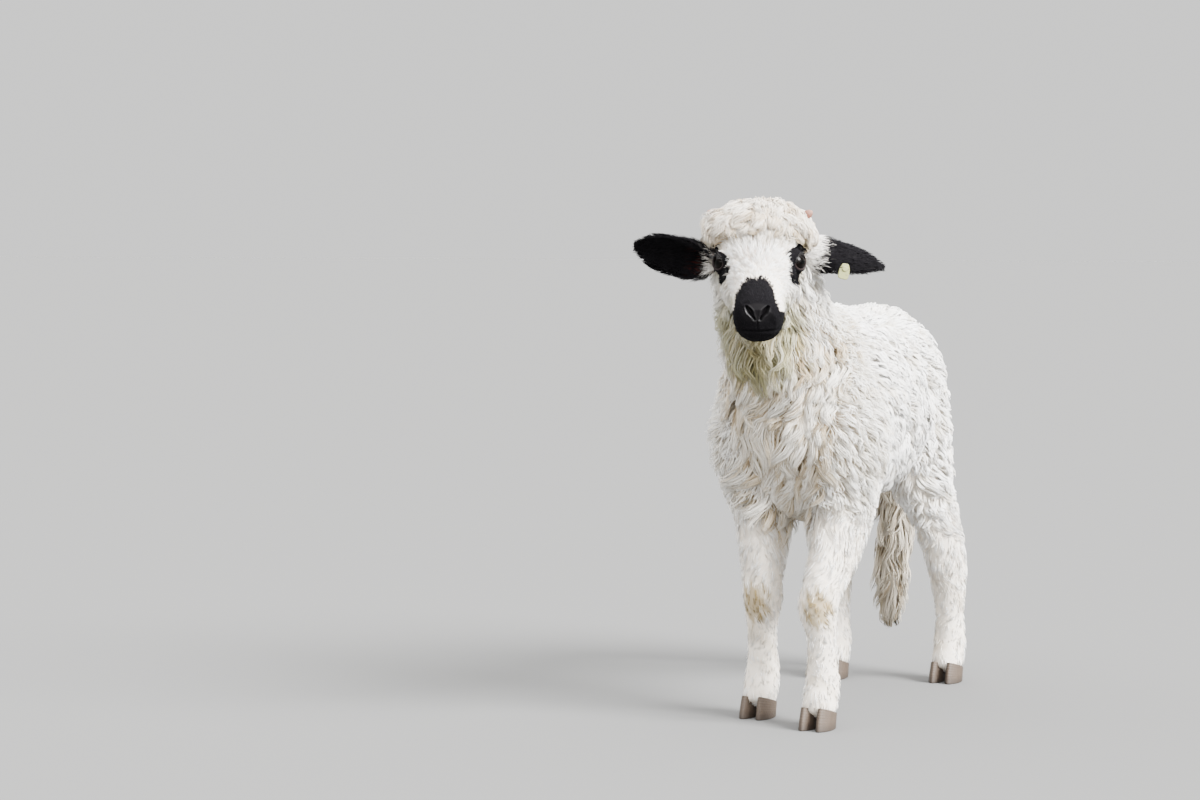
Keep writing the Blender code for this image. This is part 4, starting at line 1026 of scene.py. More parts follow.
def grow(name, weight, count, locks, seed, lie, length, stand, curl, turns, width, steps, pull,
         material, slot, arch=0.5, wavelength=0.09):
    """A coat on the skin: own path * (1 - bend) + the lock's path * bend, where bend = pull * t^0.9.

    The weight says where it grows and how thick. Lie, length, stand and curl are functions of the roots, and
    near neighbours swing together, as the phase of their waves changes slowly over the wavelength.
    """
    roots, middles = Roots(skin, weight, count, seed), Roots(skin, weight, locks, seed + 1)
    rng = roots.rng
    owner, distance = owners(roots.spot, middles.spot)
    outer = step(distance, 0.0, 1.6 * np.median(distance))
    turning = waves(middles.spot, wavelength, seed) + 0.5 * rng.normal(size=locks)
    swing = curl(middles) * rng.uniform(0.7, 1.4, locks)
    lock_path, _ = paths(skin, middles.spot, middles.out, lie(middles), length(middles), stand(middles),
                         swing, turns * rng.uniform(0.85, 1.15, locks), turning, steps, arch)
    path, up = paths(skin, roots.spot, roots.out, lie(roots), length(roots),
                     stand(roots) * (1.15 - 0.6 * outer), 0.7 * swing[owner],
                     turns * rng.uniform(0.85, 1.15, count), turning[owner] + 0.6 * rng.normal(size=count),
                     steps, arch)
    bend = pull * np.linspace(0, 1, steps)[None, :, None] ** 0.9
    apart = (roots.spot - middles.spot[owner])[:, None] * (1 - 0.7 * bend)
    path = path * (1 - bend) + (lock_path[owner] + apart) * bend
    marks = markings(roots.spot)
    del marks["pink"]
    chance = 0.13 * rng.normal(size=count)
    # A lower tone at a lock's edge paints the shade between locks; the rest of the tone is chance.
    tone = np.clip(0.62 - 0.42 * outer + chance + 0.20 * rng.normal(size=locks)[owner], 0, 1)
    round_lock = 0.9 * (unit(roots.spot - middles.spot[owner]) * outer[:, None])[:, None]
    coat(name, roots, path, up, width * rng.uniform(0.7, 1.35, count), material, slot,
         round_lock=round_lock, tone=tone, **marks)


def jitter(group, amount):
    """A random vector for each root, of about the given length."""
    return amount * group.rng.normal(size=(len(group), 3))


def constant(value):
    """A measure that is the same at every root, but for a fifth by chance."""
    return lambda group: value * group.rng.uniform(0.8, 1.2, len(group))


woolly = (1 - is_head) * (1 - is_tail) * step(coat_depth, 0.006, 0.011)


def fleece_lie(group):
    """Down and back, in slow waves."""
    sway = 0.5 * np.sin(28 * group.spot[:, 1] + 35 * group.spot[:, 2])
    return np.stack([0 * sway, 0.5 + sway, -0.9 + 0 * sway], axis=-1) + jitter(group, 0.3)


grow("fleece", woolly * (1 - chest), count=13400, locks=1500, seed=11, lie=fleece_lie,
     length=lambda g: (1.05 * g.of(coat_depth) + 0.002) * g.rng.uniform(0.8, 1.2, len(g)),
     stand=lambda g: 0.62 * g.of(coat_depth) * g.rng.uniform(0.85, 1.15, len(g)),
     curl=constant(0.0038), turns=0.62, width=0.0030, steps=5, pull=0.8, arch=0.70,
     material=wool, slot="white_wool")

# %% [markdown]
# ## Long locks of neck and chest
# Here the wool hangs in wavy locks about four to six centimetres long that overlap like thatch. One broad
# blade for each lock would be lighter, but its edge would look cut out. So each lock is a bundle of some
# twenty narrow blades that swing alike and are drawn together towards their tips.

# %% Neck and chest
beside = np.abs(points[:, 0] - 0.004 + 0.25 * (points[:, 1] - FEET_MIDDLE[1] + 0.20))
half_chest = np.interp(points[:, 2], (0.25, 0.30, 0.38), (0.020, 0.040, 0.062))
low_neck = step(points[:, 2], 0.530, 0.440) * step(beside - half_chest, 0.010, -0.010)


def hanging(group):
    """Down, leaning to the lamb's right in the middle and outwards at the sides, in slow waves."""
    x, _, z = group.spot.T
    sway = 5.0 * (x - 0.035) + 0.25 * np.sin(55 * z + 30 * x)
    return np.stack([sway, 0 * x - 0.05, 0 * x - 1.0], axis=-1) + jitter(group, 0.12)


def chest_length(group):
    """Longest at the middle of the chest, shorter towards the throat and on the legs."""
    height = np.interp(group.spot[:, 2], (0.262, 0.34, 0.44, 0.52), (0.046, 0.062, 0.062, 0.036))
    width = np.interp(np.abs(group.spot[:, 0]), (0.025, 0.080), (1.0, 0.60))
    return height * width * group.rng.uniform(0.8, 1.2, len(group))


def throat_lie(group):
    """Down, and out from under the jaw to both sides."""
    x = in_head(group.spot)[:, 0]
    return np.stack([6 * x, 0 * x - 0.05, 0 * x - 1.0], axis=-1) + jitter(group, 0.2)


def throat_stand(group):
    """Fluffy at the chest, a little flatter up under the jaw."""
    share = 0.84 - 0.20 * step(group.spot[:, 2], 0.46, 0.54)
    return share * group.of(coat_depth) * group.rng.uniform(0.75, 1.15, len(group))


grow("throat", woolly * chest * (1 - low_neck), count=8400, locks=900, seed=21, lie=throat_lie,
     length=lambda g: (0.0090 + 0.62 * g.of(coat_depth)) * g.rng.uniform(0.8, 1.2, len(g)),
     stand=throat_stand, curl=constant(0.0040), turns=0.65, width=0.0017, steps=6, pull=0.55,
     arch=0.66, wavelength=0.05, material=soft_wool, slot="white_wool")
grow("chest_locks", woolly * chest * low_neck, count=5600, locks=250, seed=25, lie=hanging,
     length=chest_length,
     stand=lambda g: 0.72 * g.of(coat_depth) * g.rng.uniform(0.8, 1.15, len(g)),
     curl=constant(0.0070), turns=1.2, width=0.0020, steps=9, pull=0.90, arch=0.62, wavelength=0.10,
     material=long_wool_shaded, slot="white_wool")

# %% [markdown]
# ## Head, legs and tail
# The hair of face and legs is short and lies flat. It could be a picture on the skin, but then the outline
# would be as smooth as china. Modelled hair needs few steps along each tuft, but many tufts. Crown, cheeks
# and tail carry wool again, so they are grown in locks like the fleece.

# %% Crown
head_points = in_head(points)
eye_gap = gap_to_eye(head_points)
edge = 0.012 + 0.5 * np.maximum(0.0, 0.030 - head_points[:, 2]) + 0.003 * np.sin(260 * head_points[:, 0])
behind_edge = head_points[:, 1] - edge
crown_weight = is_head * step(behind_edge, -0.005, 0.007) * step(eye_gap, 0.012, 0.018)


def crown_lie(group):
    """Forward over the forehead, outwards and down the sides of the head."""
    outwards = np.clip(in_head(group.spot)[:, 0] / 0.05, -1, 1)
    side = np.abs(outwards)
    lie = np.stack([0.9 * outwards, -0.9 + side, -0.15 - 0.8 * side ** 2], axis=-1)
    return turned(lie) + jitter(group, 0.25)


def crown_length(group):
    """Longest on top, shorter down the cheeks."""
    local = in_head(group.spot)
    long = np.interp(local[:, 2], (-0.05, 0.0, 0.03), (0.016, 0.022, 0.034))
    long = long * (0.5 + 0.5 * step(group.of(behind_edge), 0.0, 0.024))
    clear_of_eye = 0.3 * long + 0.6 * gap_to_eye(local)
    return np.minimum(long, clear_of_eye) * group.rng.uniform(0.75, 1.15, len(group))


def crown_stand(group):
    """Highest on top, lower at the sides and along the edge over the forehead."""
    tall = np.interp(in_head(group.spot)[:, 2], (-0.05, 0.01), (0.007, 0.0125))
    tall = tall * (0.55 + 0.45 * step(group.of(behind_edge), 0.0, 0.020))
    return tall * group.rng.uniform(0.7, 1.1, len(group))


grow("crown", crown_weight, count=5500, locks=260, seed=31, lie=crown_lie, length=crown_length,
     stand=crown_stand, curl=constant(0.0048), turns=0.85, width=0.0018, steps=7, pull=0.80, arch=0.70,
     wavelength=0.035, material=crown_wool, slot="face_hair")

# %% Wool round the horn buds
BUD_ROOT, BUD_WAY = np.array([0.034, 0.046, 0.022]), np.array([0.74, 0.10, 0.56])
BUD_HIDDEN = {"left": 0.0115, "right": 0.0185}  # how high the wool stands round each bud


def bud_lie(group):
    """The way the buds point, and a little forward and down."""
    side = np.sign(in_head(group.spot)[:, :1])
    return turned(np.concatenate([0.79 * side, 0 * side - 0.4, 0 * side + 0.4], axis=1))


for name, sign in SIDES.items():
    base = BUD_ROOT * [sign, 1, 1] + 0.014 * unit(BUD_WAY) * [sign, 1, 1]
    near_bud = groove(np.linalg.norm(head_points - base, axis=1), 0.0105) * is_head
    grow("bud_wool_" + name, near_bud * (near_bud > 0.05), count=330, locks=26, seed=35 + sign, lie=bud_lie,
         length=constant(0.027), stand=constant(BUD_HIDDEN[name]), curl=constant(0.0040), turns=0.8,
         width=0.0017, steps=7, pull=0.6, arch=0.62, material=crown_wool, slot="face_hair")

# %% Face and cheeks
BARE_ANGLE = math.radians(62)  # the lids are bare this far from the way the eye looks
on_lid = (eye_gap < LID_MARGIN) * (unit(around_eye(head_points)) @ unit(EYE_WAY) > math.cos(BARE_ANGLE))
face_weight = is_head * (1 - crown_weight) * (1 - on_lid) * (1 - 0.8 * mouth) * (1 - leather)
jaw = np.maximum(step(np.abs(head_points[:, 0]), 0.022, 0.036), step(head_points[:, 2], -0.026, -0.046))
cheek_weight = face_weight * jaw * step(head_points[:, 1], -0.052, -0.030)
cheek_weight = cheek_weight * step(head_points[:, 2], -0.004, -0.014)
cheek_weight = cheek_weight * step(eye_gap, 0.008, 0.012) * (1 - marks["black"])


def face_length(group):
    """Two millimetres at the lips and lids, more towards the cheeks and between the eyes."""
    local = in_head(group.spot)
    back = (-0.105, -0.070, -0.040, -0.010, 0.020)
    long = np.interp(local[:, 1], back, (0.0020, 0.0036, 0.0075, 0.0140, 0.0160))
    long = long + 0.006 * step(np.abs(local[:, 0]), 0.022, 0.034) * step(local[:, 1], -0.075, -0.045)
    near_lid = 0.0028 + 0.5 * np.maximum(gap_to_eye(local) - 0.002, 0)
    clear = from_eye_black(local)
    near_black = np.where(clear > 0, 0.0035 + 0.5 * clear, np.inf)
    return np.minimum.reduce([long, near_lid, near_black]) * group.rng.uniform(0.8, 1.3, len(group))


def face_lie(group):
    """Back from the nose, fanning out over the forehead, down the cheeks and away from the eyes."""
    local = in_head(group.spot)
    x, _, z = local.T
    offset = around_eye(local)
    away = offset * np.exp(-(np.linalg.norm(offset, axis=1) / 0.022) ** 2)[:, None] / 0.012
    away[:, 0] *= np.sign(x)
    lie = np.stack([0.8 * x / 0.04, np.full(len(x), 0.9), -0.2 - 22 * np.maximum(0, -z - 0.015)], axis=-1)
    return turned(lie + 1.2 * away) + jitter(group, 0.24)


def cheek_lie(group):
    """Down, outwards and back."""
    x = in_head(group.spot)[:, 0]
    return turned(np.stack([8 * x, 0 * x + 0.30, 0 * x - 0.8], axis=-1)) + jitter(group, 0.2)


grow("face_hair", face_weight * (1 - 0.7 * cheek_weight), count=9400, locks=1300, seed=41, lie=face_lie,
     length=face_length,
     stand=lambda g: np.interp(in_head(g.spot)[:, 1], (-0.05, 0.01), (0.33, 0.50)) * face_length(g),
     curl=constant(0.0008), turns=0.5, width=0.0013, steps=4, pull=0.45, material=hair, slot="face_hair")
grow("cheek_wool", cheek_weight, count=3000, locks=420, seed=45, lie=cheek_lie, length=constant(0.0170),
     stand=constant(0.0075), curl=constant(0.0022), turns=0.5, width=0.0018, steps=5, pull=0.55, arch=0.6,
     material=soft_wool, slot="face_hair")

# %% Legs
leg_weight = is_leg * step(coat_depth, 0.014, 0.008)


def leg_lie(group):
    """Down the leg, slanting one way and the other in patches."""
    x, _, z = group.spot.T
    slant = 0.45 * np.sin(70 * z + 60 * x) + 0.25 * np.sin(190 * z)
    side = np.cross(group.out, group.of(tube_down))
    return group.of(tube_down) + slant[:, None] * side + jitter(group, 0.12)


def leg_length(group):
    """Longer where the coat is deep, and over the top of the hoof."""
    low = step(group.spot[:, 2], 0.060, 0.035)
    return (0.0080 + 1.1 * group.of(coat_depth) + 0.005 * low) * group.rng.uniform(0.75, 1.25, len(group))


grow("leg_hair", leg_weight, count=9000, locks=1200, seed=51, lie=leg_lie, length=leg_length,
     stand=lambda g: 0.0018 + 0.42 * g.of(coat_depth), curl=constant(0.0009), turns=0.6, width=0.0016,
     steps=4, pull=0.65, material=leg_hair, slot="white_hair")

# %% Tail
grow("tail_wool_shaded", is_tail, count=1500, locks=150, seed=61,
     lie=lambda g: np.array([0, 0.02, -1.0]) + jitter(g, 0.15), length=constant(0.048),
     stand=constant(0.0125), curl=constant(0.0050), turns=1.0, width=0.0025, steps=8, pull=0.8,
     material=tail_wool_shaded, slot="grey_wool")

# %% [markdown]
# ## Ears
# An ear is a leaf rolled into a cup: each section is an arc, almost shut at the root and open further out.
# A flat leaf with a Bend modifier would keep one roundness all along. So the arc's radius and angle are
# curves along the ear, and each section runs along the outer face and back along the inner one.

# %% Ear blades
EAR_LENGTH, EAR_WALL = 0.114, 0.0026
EAR_CUP = (160, 140, 95, 68, 52, 42, 34, 28)  # half angle of the arc in degrees, from the root to the tip
EAR_WIDTHS = (0.0110, 0.0130, 0.0200, 0.0260, 0.0265)  # half widths from the root on
EAR_TIPS = {"left": (0.0220, 0.0140, 0.0040), "right": (0.0255, 0.0192, 0.0055)}  # and the last three
EARS = {  # side of the head, root, how far the tip is raised, how far the cup is turned about the blade
    "left": (+1, (0.036, 0.045, 0.010), math.radians(-15), math.radians(203)),
    "right": (-1, (-0.036, 0.045, -0.013), math.radians(7), math.radians(-100)),
}
EAR_BEND = {"left": 0.0103, "right": 0.0}  # how far the tip droops towards the cup's opening
EAR_FIT = {"left": (1.045, 0.80), "right": (1.0, 1.0)}  # shares of the length, and of the front half's width
EAR_WHITE = {"left": 0.29, "right": 0.16}  # the share of the ear, from its root, that is white


def ear_place(side):
    """Where an ear's own frame lies: its blade runs along X from the root, and its cup opens to +Z."""
    sign, root, pitch, turn = EARS[side]
    place = Matrix.Translation(root) @ Matrix.Rotation(-sign * pitch, 4, "Y")
    if sign < 0:
        place = place @ Matrix.Rotation(math.pi, 4, "Z")
    return head_pose @ place @ Matrix.Rotation(turn, 4, "X")


def ear_shape(side, count):
    """The blade's radius and half angle at evenly spaced shares of its length."""
    half, curl = along(np.column_stack([EAR_WIDTHS + EAR_TIPS[side], EAR_CUP]), count).T
    curl = np.radians(curl)
    return half / np.sin(np.minimum(curl, math.pi / 2)), curl


def ear_blade(side):
    """x = length * s, y = r sin(a), z = R - r cos(a) + bend * s^2; r is R outside and R - wall inside.

    Gives the ear, what its finish and hair read of each point, and the ways to the edge and to the tip.
    """
    count, columns = 60, 33  # sections, and points across each face
    share = np.linspace(0, 1, count)[:, None]
    radius, curl = ear_shape(side, count)
    across = np.concatenate([np.linspace(-1, 1, columns), np.linspace(1, -1, columns)])[None]
    within = np.broadcast_to(np.repeat([0.0, 1.0], columns), (count, 2 * columns))
    rim = np.sqrt(np.clip(1 - across ** 2, 0.02, 1)) ** 0.6
    size = radius[:, None] - within * EAR_WALL * (1 - 0.55 * share) * rim
    longer, front = EAR_FIT[side]
    angle = curl[:, None] * across * (1 - (1 - front) * step(across, 0.0, 0.6) * step(share, 0.25, 0.5))
    rings = np.stack([np.broadcast_to(longer * EAR_LENGTH * share, angle.shape), size * np.sin(angle),
                      radius[:, None] - size * np.cos(angle) + EAR_BEND[side] * share ** 2], axis=-1)
    ear = loft("ear_blade_" + side, rings, (rings[0].mean(axis=0), rings[-1].mean(axis=0)))
    edgewards = np.stack([0 * angle, np.cos(angle), np.sin(angle)], axis=-1) * np.sign(across)[..., None]
    fields = {"within": within, "far": np.broadcast_to(share, angle.shape),
              "edge": np.broadcast_to(np.abs(across), angle.shape)}
    fields = {name: np.pad(field.ravel(), 1, mode="edge") for name, field in fields.items()}
    place = np.array(ear_place(side))
    edgewards = np.pad(edgewards.reshape(-1, 3), ((1, 1), (0, 0))) @ place[:3, :3].T
    ragged = 0.03 * np.sin(40 * fields["edge"] + 3) + 0.05 * fields["edge"]
    white = step(fields["far"] - ragged, EAR_WHITE[side], EAR_WHITE[side] - 0.04)
    store(ear, white=white, **fields)
    ear.data.transform(ear_place(side))
    turned_out(ear).data.shade_smooth()
    unwrap(ear)
    return ear, fields, edgewards, place[:3, 0]


def ear_skin():
    """Black skin, with a faint red glow deep inside the cup."""
    finish = Finish("ear skin", Roughness=0.8, Specular_IOR_Level=0.08)
    glow = finish.field("within") * (1 - finish.ramp(finish.field("far"), 0.3, 0.5)) * 0.7
    black = finish.mix(glow, (0.003, 0.0025, 0.003), (0.045, 0.010, 0.008))
    return finish.end(Base_Color=finish.mix(finish.field("white"), black, (0.62, 0.50, 0.42)),
                      Normal=finish.bump(finish.noise(900.0), 0.4, 0.0006))


ear_material = ear_skin()
print("ear radius", {side: np.round(ear_shape(side, 5)[0], 4).tolist() for side in EARS})

# %% Ear hair
ear_hair = coat_finish("ear hair", (0.60, 0.52, 0.44), (0.78, 0.72, 0.64), (0.87, 0.84, 0.79))
for side, white in EAR_WHITE.items():
    ear, fields, edgewards, tipwards = ear_blade(side)
    within, far, edge = fields["within"], fields["far"], fields["edge"]
    ear.data.materials.append(ear_material)
    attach(ear, "root")
    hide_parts("ear_" + side)
    hairs = {  # where, how many, how long, how far it stands, how much it points over the edge
        "back": ((1 - within) * (far > 0.03) * np.where(far < white, 1.6, 1.0), 1900, 0.0100, 0.26, 0.0),
        "cup": (within * (far > 0.06) * np.where(far < white, 3.5, 1.0), 900, 0.0125, 0.30, -0.3),
        "fringe": (1.0 * (edge > 0.88) * (far > 0.12), 420, 0.0125, 0.25, 0.7),
    }
    for part, (weight, count, size, rise, over) in hairs.items():
        roots = Roots(ear, weight, count, 71 + len(part))
        rng = roots.rng
        length = size * rng.uniform(0.7, 1.3, count)
        length = length * np.interp(roots.of(far), (0.2, 0.5, 0.8, 1), (1.6, 1, 1, 0.7))
        lie = tipwards + over * roots.of(edgewards) + jitter(roots, 0.22)
        path, up = paths(ear, roots.spot, roots.out, lie, length, stand=rise * length,
                         curl=np.full(count, 0.0014), turns=np.full(count, 0.6),
                         phase=rng.uniform(0, 6.28, count), steps=4)
        black = step(roots.of(far) + 0.03 * rng.normal(size=count), white - 0.02, white + 0.02)
        black = np.maximum(black, 0.96 * (roots.of(within) > 0.5) * (roots.of(far) > 0.8 * white))
        width = 0.0013 * rng.uniform(0.8, 1.3, count)
        coat(f"ear_{side}_{part}", roots, path, up, width, ear_hair, "ear_hair",
             black=black, tan=0 * black, moss=0 * black, tone=rng.uniform(0.2, 0.8, count))

# %% [markdown]
# ## Eyes
# A lamb's eye is dark brown with a level slot for a pupil, and always wet. A dark rim lines the lids, with
# lashes on the upper one. The pupil could be a disc of its own, but as a field on the ball's points it
# follows the ball's curve. The rim follows the same almond that opened the lids, so that it fits them.

# %% Eyeballs
def eye_finish():
    """Nearly black brown with a blacker pupil, under a clear wet coat."""
    finish = Finish("eye", Roughness=0.10, Coat_Weight=0.06, Coat_Roughness=0.01, Specular_IOR_Level=0.05)
    iris = finish.mix(finish.noise(700.0), (0.0008, 0.0005, 0.0004), (0.0030, 0.0016, 0.0010))
    seen = finish.mix(finish.field("pupil"), iris, (0.0003, 0.0003, 0.0003))
    return finish.end(Base_Color=finish.mix(finish.field("rim"), seen, (0.0006, 0.0005, 0.0005)))


eye_material = eye_finish()
for name, sign in SIDES.items():
    eye = turned_out(ball("eyeball_" + name, np.zeros(3), EYE_RADIUS, steps=48, sides=64))
    local = read(eye)
    way = unit(EYE_WAY * [sign, 1, 1])
    level = unit(np.cross([0, 0, 1.0], way))
    upright = np.cross(way, level)
    a, b, c = local @ level / EYE_RADIUS, local @ upright / EYE_RADIUS, local @ way / EYE_RADIUS
    pupil = step((a / 0.42) ** 2 + (b / 0.20) ** 2, 1.15, 0.85) * (c > 0)
    store(eye, pupil=pupil, rim=step(c, 0.60, 0.45))
    eye.data.transform(head_pose @ Matrix.Translation((sign * EYE_APART, 0, 0)))
    eye.data.shade_smooth()
    eye.data.materials.append(eye_material)
    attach(eye, "root")
    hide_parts("eye_" + name)
print("eyeball radius", EYE_RADIUS)

# %% Rims of the lids, and lashes
RIM_RADIUS, RIM_LIFT = 0.0011, 0.0006  # the ring's own radius, and its middle's height over the eyeball
RIM_STEPS, RIM_SIDES = 96, 12
LASHES, LASH_LENGTH, LASH_WIDTH = 24, 0.0072, 0.00035


def lid_rim(name, side):
    """A closed ring: middle = ways * (eyeball + lift), and round it radius * (ways cos(b) + across sin(b)).

    Gives the rim, and where the lashes stand on it: on its outer side, along the upper lid.
    """
    ways = unit(almond(full_turn(RIM_STEPS)))
    middle = (EYE_RADIUS + RIM_LIFT) * ways
    run = unit(np.roll(middle, -1, axis=0) - np.roll(middle, 1, axis=0))
    angle = full_turn(RIM_SIDES)[None, :, None]
    around = ways[:, None] * np.cos(angle) + np.cross(run, ways)[:, None] * np.sin(angle)
    points = (middle[:, None] + RIM_RADIUS * around).reshape(-1, 3)
    ring, turn = np.meshgrid(np.arange(RIM_STEPS), np.arange(RIM_SIDES), indexing="ij")
    here, after, beside = ring * RIM_SIDES, (ring + 1) % RIM_STEPS * RIM_SIDES, (turn + 1) % RIM_SIDES
    quads = np.stack([here + turn, after + turn, after + beside, here + beside], axis=-1)
    rim = new_object("lid_rim_" + name, points, quads.reshape(-1, 4).tolist())
    store(rim, upper=np.repeat(step(ways[:, 1], 0.05, 0.25), RIM_SIDES))
    rim.data.transform(head_pose @ eye_frame(side))
    turned_out(rim).data.shade_smooth()
    unwrap(rim)
    outer = np.tile(np.cos(angle.ravel()), RIM_STEPS) > 0.4
    return rim, np.repeat(step(ways[:, 1], 0.10, 0.30), RIM_SIDES) * outer


def rim_finish():
    """Wet dark skin, browner below."""
    finish = Finish("lid rim", Roughness=0.45, Specular_IOR_Level=0.12)
    lower, upper = (0.0150, 0.0095, 0.0095), (0.0040, 0.0030, 0.0030)
    return finish.end(Base_Color=finish.mix(finish.field("upper"), lower, upper))


def lash_finish():
    """Black hair."""
    return Finish("lashes", Base_Color=(0.006, 0.005, 0.005, 1.0), Roughness=0.5).material


rim_material, lash_material = rim_finish(), lash_finish()
for name, sign in SIDES.items():
    rim, weight = lid_rim(name, sign)
    rim.data.materials.append(rim_material)
    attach(rim, "root")
    roots = Roots(rim, weight, LASHES, seed=91)
    looking = turned(unit(EYE_WAY) * [sign, 1, 1])
    aim = unit(0.6 * roots.out + looking + 0.25 * turned(np.array([0, 0, -1.0])) + jitter(roots, 0.12))
    t = np.linspace(0, 1, 5)[None, :, None]
    lift = turned(np.array([0, 0, 1.0]))
    path = roots.spot[:, None] + LASH_LENGTH * (aim[:, None] * t + 0.30 * lift * t ** 2)
    coat("lashes_" + name, roots, path, np.broadcast_to(lift, path.shape), np.full(LASHES, LASH_WIDTH),
         lash_material, "eye", flat=1.0)

# %% [markdown]
# ## Horn buds, hooves and tag
# These are horn and plastic, without hair, so each is its own smooth form. Bevelled cubes and cylinders
# would be quicker to make, but a bud swells at its root and a claw narrows to its toe. So buds and the tag's
# pin are turned about an axis, a claw is a stack of ellipses, and the tag is a stack of rounded rectangles.

# %% Horn buds
BUD_RADIUS, BUD_LENGTH = 0.0070, 0.036


def horn_bud(name, side):
    """r = radius * sqrt(1 - s^5) * (1.15 - 0.2 s), with faint growth rings."""
    share, sides = np.linspace(0, 0.995, 48), 32
    radius = BUD_RADIUS * np.sqrt(1 - share ** 5) * (1.15 - 0.2 * share) + 0.00012 * np.sin(75 * share)
    rings = rings_about_z(radius, BUD_LENGTH * share, sides)
    bud = loft("horn_" + name, rings, ([0, 0, 0], [0, 0, BUD_LENGTH]))
    store(bud, far=np.concatenate([[0], np.repeat(share, sides), [1]]))
    bud.data.transform(head_pose @ Matrix.Translation(BUD_ROOT * [side, 1, 1]) @ facing(BUD_WAY, side))
    return turned_out(bud)


def horn_finish():
    """Dull reddish tan, paler at its tip."""
    finish = Finish("young horn", Specular_IOR_Level=0.35)
    patchy = finish.noise(260.0, 3.0)
    base = finish.mix(patchy, (0.090, 0.030, 0.019), (0.20, 0.083, 0.056))
    pale = finish.mix(finish.ramp(finish.field("far"), 0.80, 1.0) * 0.5, base, (0.34, 0.20, 0.145))
    return finish.end(Base_Color=pale, Roughness=0.55 + 0.25 * patchy,
                      Normal=finish.bump(patchy, 0.35, 0.0004))


horn_material = horn_finish()
for name, sign in SIDES.items():
    bud = horn_bud(name, sign)
    bud.data.shade_smooth()
    bud.data.materials.append(horn_material)
    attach(bud, "root")
    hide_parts("horn_bud_" + name)
print("horn buds", BUD_LENGTH, "long")

# %% Hooves
CLAW_APART, CLAW_WIDE, CLAW_LONG = 0.0108, 0.0103, 0.0245  # how far from the foot's middle, and half sizes
CLAW_AHEAD, TOE_AHEAD = 0.013, 0.035  # how far the claw's middle and its toe lie in front of the cannon
CORONET, CORONET_SLOPE = 0.0290, math.tan(math.radians(16))  # its height at the toe, its fall backwards
CLAW_LEVELS = (0, 0.012, 0.045)  # where the claw's size and lean are given


def claw(name, middle, back, inner):
    """x = middle + wide * cos(a), y = back + long * sin(a), from the flat sole up to the sloping coronet.

    Both half sizes shrink upwards, the side towards the cleft is flatter, and the toe is narrower.
    """
    share = np.concatenate([[0, 0.02, 0.05], np.linspace(0.08, 1, 40)])[:, None]
    angle = full_turn(40)[None]
    cosine, sine = np.cos(angle), np.sin(angle)
    toe, heel = step(-sine, 0.3, 1.0), step(sine, 0.3, 1.0)
    flat = np.where(cosine * inner > 0, 0.88, 1.0)
    level = CORONET * share
    shrink = np.interp(level, CLAW_LEVELS, (1.0, 0.97, 0.86)) - 0.05 * (share < 0.01)
    shrink = shrink + 0.006 * np.sin(level * 2 * math.pi / 0.0034) * step(share, 0.15, 0.4)
    lean = np.interp(level, CLAW_LEVELS, (-0.004, -0.002, 0.006))
    x = middle + CLAW_WIDE * shrink * flat * cosine * (1 - 0.22 * toe + 0.05 * heel)
    y = back - CLAW_AHEAD + lean + CLAW_LONG * shrink * sine
    z = share * (CORONET - CORONET_SLOPE * (y - back + TOE_AHEAD))
    rings = np.stack([x, y, z], axis=-1) + FEET_MIDDLE
    return turned_out(loft(name, rings, (rings[0].mean(axis=0) * [1, 1, 0], rings[-1].mean(axis=0))))


def hoof_finish():
    """Brown horn, darker towards the ground, with streaks up the wall."""
    finish = Finish("hoof", Specular_IOR_Level=0.4)
    height = finish.add("ShaderNodeSeparateXYZ", None, {0: finish.place()}, output=2)
    grain = finish.noise(420.0, 3.0)
    base = finish.mix(grain, (0.034, 0.023, 0.016), (0.088, 0.062, 0.043))
    low = finish.mix(finish.ramp(height, 0.012, 0.0) * 0.7, base, (0.020, 0.014, 0.010))
    return finish.end(Base_Color=low, Roughness=0.45 + 0.35 * grain,
                      Normal=finish.bump(grain, 0.5, 0.0005))


hoof_material = hoof_finish()
for foot, (side, track, back) in SIDES_OF_FEET.items():
    for inner, name in ((-side, "outer"), (side, "inner")):
        out = 1 if name == "outer" else -1
        hoof = claw(f"claw_{foot}_{name}", side * (track + out * CLAW_APART), back, inner)
        hoof.data.shade_smooth()
        hoof.data.materials.append(hoof_material)
        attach(hoof, "root")
        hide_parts(f"hoof_{foot}_{name}")
print("claws", 2 * len(SIDES_OF_FEET))

# %% The tag
TAG_WIDTH, TAG_LENGTH, TAG_THICK, TAG_EDGE = 0.0130, 0.0190, 0.0020, 0.0008
TAG_SHARE, TAG_ANGLE = 0.63, math.radians(33)  # how far out along the ear, and how far round its arc
TAG_WALL = 0.0027  # the thickness of the ear between the plate and the button


def tag_place():
    """Where the tag lies: on the outer side of the left ear, with +Z away from the ear."""
    radius = float(ear_shape("left", 101)[0][round(100 * TAG_SHARE)])
    out = Vector((0, math.sin(TAG_ANGLE), -math.cos(TAG_ANGLE)))
    spot = Vector((EAR_LENGTH * TAG_SHARE, 0, radius + EAR_BEND["left"] * TAG_SHARE ** 2)) + radius * out
    frame = Matrix.Translation(spot) @ Matrix.Rotation(TAG_ANGLE, 4, "X")
    return ear_place("left") @ frame @ Matrix.Rotation(math.pi, 4, "X")


def turned_part(rows):
    """A round part from rows of radius and level."""
    radius, level = np.array(rows).T
    rings = rings_about_z(radius, level, sides=40)
    return turned_out(loft("part", rings, ([0, 0, level[0]], [0, 0, level[-1]])))


